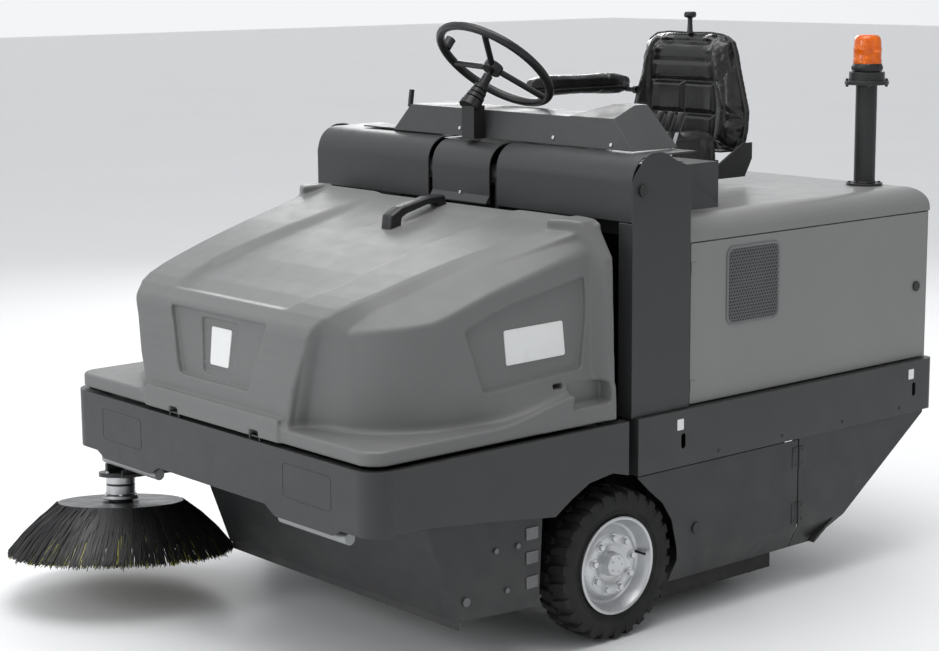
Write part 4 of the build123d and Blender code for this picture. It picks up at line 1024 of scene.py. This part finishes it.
def cloth_pad(name, verts, faces, voxel, pressure, cap, pins=None, hold=None):
    """Remesh a start shape, blow it up a little with Cloth, cap the movement and apply."""
    me = bpy.data.meshes.new(name)
    me.from_pydata(MA(verts).tolist(), [], [tuple(f) for f in faces])
    me.materials.append(VINYL)
    me.update()
    o = bpy.data.objects.new(name, me)
    bpy.context.scene.collection.objects.link(o)
    fix(o)
    bpy.context.view_layer.objects.active = o
    for q in bpy.context.selected_objects:
        q.select_set(False)
    o.select_set(True)
    rm = o.modifiers.new("Remesh", "REMESH")
    rm.mode = "VOXEL"
    rm.voxel_size = voxel
    rm.use_smooth_shade = True
    bpy.ops.object.modifier_apply(modifier=rm.name)
    sm = o.modifiers.new("Smooth", "SMOOTH")
    sm.factor, sm.iterations = 0.5, 4
    bpy.ops.object.modifier_apply(modifier=sm.name)
    start = np.zeros(len(o.data.vertices) * 3)
    o.data.vertices.foreach_get("co", start)
    start = start.reshape(-1, 3)
    vg = o.vertex_groups.new(name="pin")
    if hold is not None:
        w = hold(start + np.array([OX, OY, 0]))
        for i in np.nonzero(w > 0.02)[0]:
            vg.add([int(i)], float(w[i]), "REPLACE")
    cl = o.modifiers.new("Cloth", "CLOTH")
    st = cl.settings
    st.quality = 5
    st.mass = 0.35
    st.tension_stiffness = st.compression_stiffness = 14
    st.shear_stiffness = 8
    st.bending_stiffness = 0.6
    st.use_pressure = True
    st.uniform_pressure_force = pressure
    st.effector_weights.gravity = 0
    st.vertex_group_mass = "pin"
    cl.collision_settings.use_collision = False
    cl.point_cache.frame_start, cl.point_cache.frame_end = 1, 20
    sc = bpy.context.scene
    sc.frame_start, sc.frame_end = 1, 20
    for fr in range(1, 21):
        sc.frame_set(fr)
    dg = bpy.context.evaluated_depsgraph_get()
    e = o.evaluated_get(dg)
    out = np.zeros(len(e.data.vertices) * 3)
    e.data.vertices.foreach_get("co", out)
    out = out.reshape(-1, 3)
    o.modifiers.remove(cl)
    sc.frame_set(1)
    d = out - start
    L = np.linalg.norm(d, axis=1)
    k = np.where(L > cap, cap / np.maximum(L, 1e-9), 1)
    out = start + d * k[:, None]
    o.data.vertices.foreach_set("co", out.ravel())
    o.data.update()
    sub = o.modifiers.new("Sub", "SUBSURF")
    sub.levels = sub.render_levels = 1
    bpy.ops.object.modifier_apply(modifier=sub.name)
    o.data.polygons.foreach_set("use_smooth", np.ones(len(o.data.polygons), bool))
    return o


def coords(o):
    c = np.zeros(len(o.data.vertices) * 3)
    o.data.vertices.foreach_get("co", c)
    return c.reshape(-1, 3) + np.array([OX, OY, 0])


def set_coords(o, c):
    c = np.asarray(c) - np.array([OX, OY, 0])
    o.data.vertices.foreach_set("co", c.ravel())
    o.data.update()


def groove(dist, width, depth):
    """Depth of a sewn line at a distance from it: a sharp bottom and rounded shoulders."""
    t = np.clip(np.abs(dist) / width, 0, 1)
    return depth * (1 - t) ** 2 * (1 + 2 * t) * 1.0


def seg_dist(u, v, a, b):
    a, b = np.array(a, float), np.array(b, float)
    e = b - a
    t = np.clip(((u - a[0]) * e[0] + (v - a[1]) * e[1]) / (e @ e), 0, 1)
    return np.hypot(u - a[0] - t * e[0], v - a[1] - t * e[1])


def shell_grid(sections, cap=True):
    """Closed skin through rings of equal point counts."""
    n = len(sections[0])
    v = [tuple(p) for s in sections for p in s]
    f = []
    for k in range(len(sections) - 1):
        for i in range(n):
            j = (i + 1) % n
            f.append((k * n + i, k * n + j, (k + 1) * n + j, (k + 1) * n + i))
    if cap:
        f.append(tuple(range(n))[::-1])
        f.append(tuple(range((len(sections) - 1) * n, len(sections) * n)))
    return v, f


def backrest():
    # outline in (x, z), half of it
    half = [(0.0, 1.768), (0.10, 1.770), (0.158, 1.764), (0.196, 1.742), (0.212, 1.700), (0.226, 1.640), (0.246, 1.570), (0.263, 1.510), (0.262, 1.450), (0.250, 1.400),
            (0.238, 1.372), (0.15, 1.362), (0.0, 1.360)]
    poly = half + [(-x, z) for x, z in half[::-1][1:-1]]
    poly = round_poly(poly, 0.02, 3)
    v2, f = slab(poly, 2.072, 2.018, 0.016, 4)
    v = [(a, h, b) for a, b, h in v2]
    o = cloth_pad("seat_back_pad", v, f, 0.0055, 4.0, 0.016, hold=lambda c: (c[:, 1] > 2.060).astype(float))
    c = coords(o)
    x, y, z = c.T
    ax = np.abs(x)
    front = smooth01(2.050 - y, 0.0, 0.022)
    # side bolsters stand forward of the middle
    edge = np.interp(z, [1.36, 1.45, 1.52, 1.60, 1.70, 1.77], [0.235, 0.255, 0.262, 0.235, 0.205, 0.15])
    bol = smooth01(ax, edge - 0.105, edge - 0.060) * smooth01(edge + 0.010 - ax, 0.0, 0.05)
    y = y - 0.012 * bol * front + 0.006 * (1 - smooth01(ax, 0.10, 0.15)) * front
    d = np.zeros_like(x)
    # seam between the bolster and the middle, top panel and two lower half panels with cross channels
    seam = np.interp(z, [1.36, 1.45, 1.55, 1.66, 1.72, 1.77], [0.138, 0.150, 0.155, 0.146, 0.135, 0.12])
    d = np.maximum(d, groove(ax - seam, 0.016, 0.014))
    inside = smooth01(seam - ax, -0.004, 0.004)
    d = np.maximum(d, groove(seg_dist(x, z, (-0.118, 1.738), (0.118, 1.738)), 0.015, 0.012))
    d = np.maximum(d, groove(z - 1.672, 0.014, 0.005) * inside)
    low = smooth01(1.606 - z, 0, 0.006)
    for zz, dep in ((1.604, 0.015), (1.492, 0.014), (1.392, 0.010)):
        d = np.maximum(d, groove(z - zz, 0.017, dep) * inside)
    d = np.maximum(d, groove(x, 0.016, 0.014) * low * inside)
    bolc = np.interp(z, [1.36, 1.45, 1.52, 1.60, 1.70, 1.77], [0.20, 0.212, 0.216, 0.200, 0.178, 0.15])
    d = np.maximum(d, groove(ax - bolc, 0.010, 0.005) * smooth01(z, 1.40, 1.44) * smooth01(1.74 - z, 0, 0.04))
    y = y + d * front
    set_coords(o, np.stack([x, y, z], 1))
    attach(o, "seat_backrest")
    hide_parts("seat_backrest")
    # piping round the front edge, moulded back shell, adjusting knob and reclining pivots
    A = Acc()
    pts = [(px, 2.030, pz) for px, pz in poly]
    tube(A, [(px * 0.995, 2.046, 1.565 + (pz - 1.565) * 1.003) for px, _, pz in pts], 0.0032, closed=True, mid=0)
    v2, f = slab(round_poly([(q[0] * 0.97, 1.565 + (q[1] - 1.565) * 0.975) for q in half + [(-a, b) for a, b in half[::-1][1:-1]]], 0.02, 3), 2.060, 2.084, 0.010, 4)
    A.add([(a * 0.97, h, b) for a, b, h in v2], f, 1)
    v, f = lathe([(1.766, 0.0), (1.766, 0.013), (1.776, 0.010), (1.800, 0.0085), (1.818, 0.0085), (1.822, 0.019), (1.826, 0.0215), (1.836, 0.0215), (1.841, 0.018), (1.842, 0.0)],
                 (0, 2.045, 0), "z", 40, closed=False)
    A.add(v, f, 1)
    for s in (-1, 1):
        v, f = lathe([(s * 0.236, 0.0), (s * 0.236, 0.020), (s * 0.247, 0.020), (s * 0.2495, 0.0175), (s * 0.2495, 0.0085), (s * 0.236, 0.0085)], (0, 2.040, 1.372), "x", 36, closed=False)
        A.add(v, f, 2)
        A.add(*boxr((s * 0.2425, 2.046, 1.386), (0.006, 0.018, 0.030), 0.002), 2)
    v, f = lathe([(-0.296, 0.0), (-0.296, 0.0088), (-0.262, 0.0088), (-0.255, 0.014), (-0.240, 0.014)], (0, 2.030, 1.560), "x", 32, closed=False)
    A.add(v, f, 2)
    fix(A.done("seat_back_shell", [SEAM, PLASTIC, STEEL], "seat_backrest", 35))


def boxr(c, half, r=0.002):
    """Box with chamfered edges, as vertices and faces."""
    bm = bmesh.new()
    bmesh.ops.create_cube(bm, size=2)
    for v in bm.verts:
        v.co = Vector((c[0] + v.co.x * half[0], c[1] + v.co.y * half[1], c[2] + v.co.z * half[2]))
    bmesh.ops.bevel(bm, geom=list(bm.edges), offset=r, segments=2, affect="EDGES", profile=0.6)
    bm.verts.ensure_lookup_table()
    bm.verts.index_update()
    v = [tuple(q.co) for q in bm.verts]
    f = [tuple(q.index for q in fc.verts) for fc in bm.faces]
    bm.free()
    return v, f


def tube(A, pts, r, closed=False, mid=0, sides=8):
    p = np.array(pts, float)
    n = len(p)
    tan = np.roll(p, -1, 0) - np.roll(p, 1, 0) if closed else np.gradient(p, axis=0)
    tan /= np.maximum(np.linalg.norm(tan, axis=1), 1e-9)[:, None]
    ref = np.array([0.0, 1.0, 0.02]) if abs(tan[:, 1]).mean() < 0.5 else np.array([1.0, 0.0, 0.02])
    v, f = [], []
    for i in range(n):
        u = ref - tan[i] * (ref @ tan[i])
        u /= np.linalg.norm(u)
        w = np.cross(tan[i], u)
        for k in range(sides):
            a = 2 * math.pi * k / sides
            v.append(tuple(p[i] + r * (u * math.cos(a) + w * math.sin(a))))
    for i in range(n if closed else n - 1):
        j = (i + 1) % n
        for k in range(sides):
            l = (k + 1) % sides
            f.append((i * sides + k, i * sides + l, j * sides + l, j * sides + k))
    if not closed:
        f.append(tuple(range(sides))[::-1])
        f.append(tuple(range((n - 1) * sides, n * sides)))
    A.add(v, f, mid)


def cushion():
    side = [(1.534, 1.345), (1.534, 1.400), (1.552, 1.432), (1.600, 1.440), (1.80, 1.424), (1.945, 1.424), (1.950, 1.330), (1.90, 1.322), (1.60, 1.322), (1.556, 1.326)]
    side = round_poly(side, 0.022, 4)
    rings = []
    for x, k in ((-0.234, 0.90), (-0.228, 0.97), (-0.20, 1.0), (-0.1, 1.0), (0.1, 1.0), (0.20, 1.0), (0.228, 0.97), (0.234, 0.90)):
        rings.append([(x, 1.742 + (y - 1.742) * k, 1.380 + (z - 1.380) * k) for y, z in side])
    v, f = shell_grid(rings)
    o = cloth_pad("seat_cushion_pad", v, f, 0.006, 4.0, 0.014, hold=lambda c: (c[:, 2] < 1.327).astype(float))
    c = coords(o)
    x, y, z = c.T
    ax = np.abs(x)
    top = smooth01(z, 1.372, 1.400)
    bol = smooth01(ax, 0.135, 0.175) * smooth01(0.250 - ax, 0, 0.04)
    z = z + (0.010 * bol - 0.006 * (1 - smooth01(ax, 0.09, 0.14))) * top
    d = groove(ax - 0.142, 0.015, 0.013) * smooth01(y, 1.575, 1.60)
    inside = smooth01(0.142 - ax, -0.003, 0.004)
    for yy in (1.640, 1.700, 1.760, 1.820, 1.880):
        d = np.maximum(d, groove(y - yy, 0.013, 0.008) * inside)
    d = np.maximum(d, groove(y - 1.588, 0.014, 0.012) * smooth01(0.215 - ax, 0, 0.02))
    z = z - d * top
    z = np.clip(z, 1.313, None)
    set_coords(o, np.stack([x, y, z], 1))
    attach(o, "seat")
    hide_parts("seat_cushion")
    A = Acc()
    loop = [(sx * 0.238, y, 1.345) for sx, y in ((1, 1.56), (1, 1.75), (1, 1.94), (-1, 1.94), (-1, 1.75), (-1, 1.56))]
    lp = round_poly([(-0.240, 1.536), (0.240, 1.536), (0.240, 1.950), (-0.240, 1.950)], 0.03, 6)
    tube(A, [(a, b, 1.342) for a, b in lp], 0.0030, closed=True)
    fix(A.done("seat_cushion_piping", [SEAM], "seat", 40))


def armrest():
    side = round_poly([(1.556, 1.576), (1.640, 1.552), (1.990, 1.546), (2.044, 1.560), (2.044, 1.604), (1.960, 1.622), (1.640, 1.626), (1.560, 1.612)], 0.022, 4)
    rings = []
    cy, cz = 1.78, 1.586
    for x, k in ((-0.3225, 0.90), (-0.3195, 0.97), (-0.314, 1.0), (-0.296, 1.0), (-0.2905, 0.97), (-0.2875, 0.90)):
        kk = k
        rings.append([(x, cy + (y - cy) * (1 - (1 - kk) * 0.12), cz + (z - cz) * kk) for y, z in side])
    v, f = shell_grid(rings)
    o = cloth_pad("armrest_pad", v, f, 0.004, 3.0, 0.006, hold=lambda c: (c[:, 1] > 2.02).astype(float))
    c = coords(o)
    x, y, z = c.T
    mx = x + 0.305
    top = smooth01(z, 1.585, 1.60)
    z = z - groove(y - 1.930, 0.010, 0.004) * top
    x = x - np.sign(mx) * groove(z - 1.578, 0.006, 0.003) * smooth01(np.abs(mx), 0.010, 0.016)
    set_coords(o, np.stack([x, y, z], 1))
    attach(o, "armrest")
    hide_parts("armrest")


cushion()
backrest()
armrest()


# ---- beacon -----------------------------------------------------------------
def beacon():
    lo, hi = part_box("beacon_lens")
    cx, cy = (lo.x + hi.x) / 2 + OX, (lo.y + hi.y) / 2 + OY
    z0, z1 = lo.z, hi.z
    R = (hi.x - lo.x) / 2
    A = Acc()
    # ribbed lens: upright flutes and a domed cap
    seg = 144
    prof = [(0.985, z0 + 0.026), (1.0, z0 + 0.030), (1.0, z0 + 0.040), (0.97, z0 + 0.043), (0.965, z0 + 0.072), (0.985, z0 + 0.075), (0.985, z0 + 0.080), (0.955, z0 + 0.083),
            (0.93, z1 - 0.022), (0.88, z1 - 0.011), (0.76, z1 - 0.004), (0.50, z1 - 0.0005), (0.0, z1)]
    v, f = [], []
    n = len(prof)
    for i in range(seg):
        a = 2 * math.pi * i / seg
        for k, (q, z) in enumerate(prof):
            rib = 0.014 * (0.5 + 0.5 * math.cos(36 * a)) if 2 < k < 9 else 0
            rr = R * 0.93 * (q - rib)
            v.append((cx + rr * math.cos(a), cy + rr * math.sin(a), z))
    for i in range(seg):
        j = (i + 1) % seg
        for k in range(n - 1):
            f.append((i * n + k, i * n + k + 1, j * n + k + 1, j * n + k))
    A.add(v, f, 0)
    # inside: reflector and lamp
    v, f = lathe([(z0 + 0.028, 0.0), (z0 + 0.028, 0.020), (z0 + 0.046, 0.018), (z0 + 0.052, 0.012), (z0 + 0.090, 0.012), (z0 + 0.096, 0.0)], (cx, cy, 0), "z", 32, closed=False)
    A.add(v, f, 2)
    # dark base ring with a row of small lugs round it
    v, f = lathe([(z0 + 0.001, 0.0), (z0 + 0.001, R * 0.80), (z0 + 0.003, R * 0.96), (z0 + 0.010, R * 0.99), (z0 + 0.020, R * 0.985), (z0 + 0.027, R * 0.95), (z0 + 0.030, R * 0.90), (z0 + 0.030, 0.0)],
                 (cx, cy, 0), "z", 72, closed=False)
    A.add(v, f, 1)
    for k in range(24):
        a = 2 * math.pi * k / 24
        c = (cx + R * 0.965 * math.cos(a), cy + R * 0.965 * math.sin(a), z0 + 0.014)
        A.add(*boxr(c, (0.0022, 0.0022, 0.006), 0.0008), 1)
    o = fix(A.done("beacon_dome", [AMBER, PLASTIC, CHROME], "chassis", 35))
    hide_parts("beacon_lens")
    A = Acc()
    # weld bead at the foot
    plo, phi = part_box("beacon_pole")
    fx, fy, fz = (plo.x + phi.x) / 2 + OX, (plo.y + phi.y) / 2 + OY, plo.z
    pts = [(fx + 0.0362 * math.cos(2 * math.pi * i / 60), fy + 0.0362 * math.sin(2 * math.pi * i / 60), fz + 0.0105 + 0.0006 * math.sin(i * 2.3)) for i in range(60)]
    tube(A, pts, 0.0026, closed=True, mid=0)
    fix(A.done("beacon_foot_bead", [STEEL], "chassis", 40))


beacon()


# ---- perforated air grille on the left door --------------------------------
def grille():
    lo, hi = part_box("engine_door_left")
    x = hi.x + OX
    y0, y1, z0, z1, r = 1.412, 1.657, 0.905, 1.150, 0.028
    pitch = 0.0118
    A = Acc()
    hole = pitch * 0.345
    ny, nz = int((y1 - y0) / pitch), int((z1 - z0) / (pitch * 0.866))

    def inside(y, z, m):
        dy, dz = max(y0 + r - y, y - y1 + r, 0), max(z0 + r - z, z - z1 + r, 0)
        return math.hypot(dy, dz) <= r - m if (dy > 0 and dz > 0) else (max(dy, dz) <= r - m)

    # plate made of hexagonal cells with a round hole in each
    sides = 12
    xa = x + 0.0016
    xb = x + 0.0002
    cells = {}
    for j in range(nz + 2):
        for i in range(ny + 2):
            y = y0 + pitch * (i + 0.5 * (j % 2))
            z = z0 + pitch * 0.866 * j
            if not inside(y, z, pitch * 0.60):
                continue
            v, f = [], []
            for k in range(sides):
                a = 2 * math.pi * (k + 0.5) / sides + math.pi / 6 - math.pi / 12
                ch, sh = math.cos(a), math.sin(a)
                rel = ((a - math.pi / 6) % (math.pi / 3)) - math.pi / 6
                R = pitch / 2 / math.cos(rel)
                a2 = a
                v.append((xa, y + R * math.sin(a2 + math.pi / 2 - math.pi / 2), z + R * math.cos(a2)))
                v.append((xa, y + hole * math.sin(a2), z + hole * math.cos(a2)))
                v.append((xb, y + hole * 0.94 * math.sin(a2), z + hole * 0.94 * math.cos(a2)))
            for k in range(sides):
                l = (k + 1) % sides
                f.append((k * 3, k * 3 + 1, l * 3 + 1, l * 3))
                f.append((k * 3 + 1, k * 3 + 2, l * 3 + 2, l * 3 + 1))
            A.add(v, f, 0)
    # painted shade: a near-black sheet behind the holes stands in for the shaded inside of the door; and a plain rim
    def rr(m, n=8):
        out = []
        for (cyy, czz, a0) in ((y1 - r, z1 - r, 0), (y0 + r, z1 - r, 90), (y0 + r, z0 + r, 180), (y1 - r, z0 + r, 270)):
            out += arcp(cyy, czz, r - m, a0, a0 + 90, n)
        return out
    rim_o, rim_i = rr(-0.001), rr(0.0085)
    n = len(rim_o)
    v = [(x + 0.0004, a, b) for a, b in rim_i]
    A.add(v, [tuple(range(n))], 1)
    prof = [(rim_o, x - 0.001), (rim_o, x + 0.0008), (rr(0.0004), x + 0.0018), (rr(0.0070), x + 0.0018), (rim_i, x + 0.0012), (rim_i, x + 0.0002)]
    v = [(h, a, b) for ring, h in prof for a, b in ring]
    f = []
    for k in range(len(prof) - 1):
        for i in range(n):
            j = (i + 1) % n
            f.append((k * n + i, k * n + j, (k + 1) * n + j, (k + 1) * n + i))
    A.add(v, f, 0)
    put("air_grille", A.v, A.f, [GRILL, PAINTED_SHADE], "engine_door_left", mids=A.m, angle=30)


grille()


# ---- small fittings ---------------------------------------------------------
def on_node(node, p, d):
    """Where a straight line from p along d meets a node: (point, outward normal), in the builder's frame."""
    o = NODES[node]
    ok, loc, nrm, _ = o.ray_cast(M(*p), Vector(d))
    return (np.array((loc.x + OX, loc.y + OY, loc.z)), np.array(nrm)) if ok else (None, None)


def fittings():
    A = Acc()
    for node, x, z in (("console_cowl", -0.10, 1.486), ("console_cowl", 0.345, 1.482), ("console_cowl", 0.600, 1.475), ("cross_covers", 0.0, 1.292)):
        c, n = on_node(node, (x, 0.5, z), (0, 1, 0))
        if c is not None:
            bolt(A, c, n, 0.0062, 0.004, 0, washer=False)
    fix(A.done("cover_screws", [ZINC], "chassis", 35))
    # painted shade: near-black sheets behind the slots of the cross cover, and behind the gap over the brush doors,
    # where only shade falls
    A = Acc()
    A.add(*boxr((0, 1.0765, 1.320), (0.42, 0.0012, 0.130), 0.0005))
    for s in (-1, 1):
        A.add(*boxr((s * 0.7325, 1.47, 0.515), (0.0012, 0.262, 0.040), 0.0005))
    fix(A.done("painted_shade_liners", [PAINTED_SHADE], "chassis", 35))
    # blank labels over the lashing slots
    A = Acc()
    for s in (-1, 1):
        for y in (1.186, 2.318):
            vs, fs = slab(round_poly([(-0.014, -0.017), (0.014, -0.017), (0.014, 0.017), (-0.014, 0.017)], 0.003), -0.0005, 0.0008, 0.0004)
            A.add([(s * (0.786 + h), y + u, 0.630 + v) for u, v, h in vs], fs)
    fix(A.done("slot_labels", [WHITE], "chassis", 35))
    # black grips of the three levers
    for x, body in ((0.470, "lever_hopper_lift"), (0.515, "lever_hopper_flap"), (0.560, "lever_brush_lift")):
        A = Acc()
        p0, p1 = np.array((x, 1.3955, 1.4915)), np.array((x, 1.4185, 1.5500))
        ax = (p1 - p0) / np.linalg.norm(p1 - p0)
        u = np.array((1.0, 0, 0))
        w = np.cross(ax, u)
        L = np.linalg.norm(p1 - p0)
        prof = [(0.0, 0.0055), (0.0, 0.0095), (0.003, 0.0108), (L * 0.5, 0.0112), (L - 0.004, 0.0118), (L - 0.001, 0.0108), (L + 0.001, 0.006), (L + 0.0015, 0.0)]
        v, f = [], []
        seg, n = 20, len(prof)
        for i in range(seg):
            a = 2 * math.pi * i / seg
            for t, r in prof:
                v.append(tuple(p0 + ax * t + r * (u * math.cos(a) + w * math.sin(a))))
        for i in range(seg):
            j = (i + 1) % seg
            for k in range(n - 1):
                f.append((i * n + k, i * n + k + 1, j * n + k + 1, j * n + k))
        A.add(v, f)
        fix(A.done("grip_" + body, [PLASTIC], body, 45))
    # door hinge pins and a gas strut seat are inside; visible rivets on the rear hood edge
    A = Acc()
    for s in (-1, 1):
        for y in (1.36, 1.66, 1.96, 2.26):
            c, n = on_node("rear_band", (s * 1.2, y, 0.520), (-s, 0, 0))
            if c is not None:
                bolt(A, c, n, 0.0055, 0.003, 0, washer=False, dome=True)
    fix(A.done("band_rivets", [BAND], "chassis", 35))


fittings()
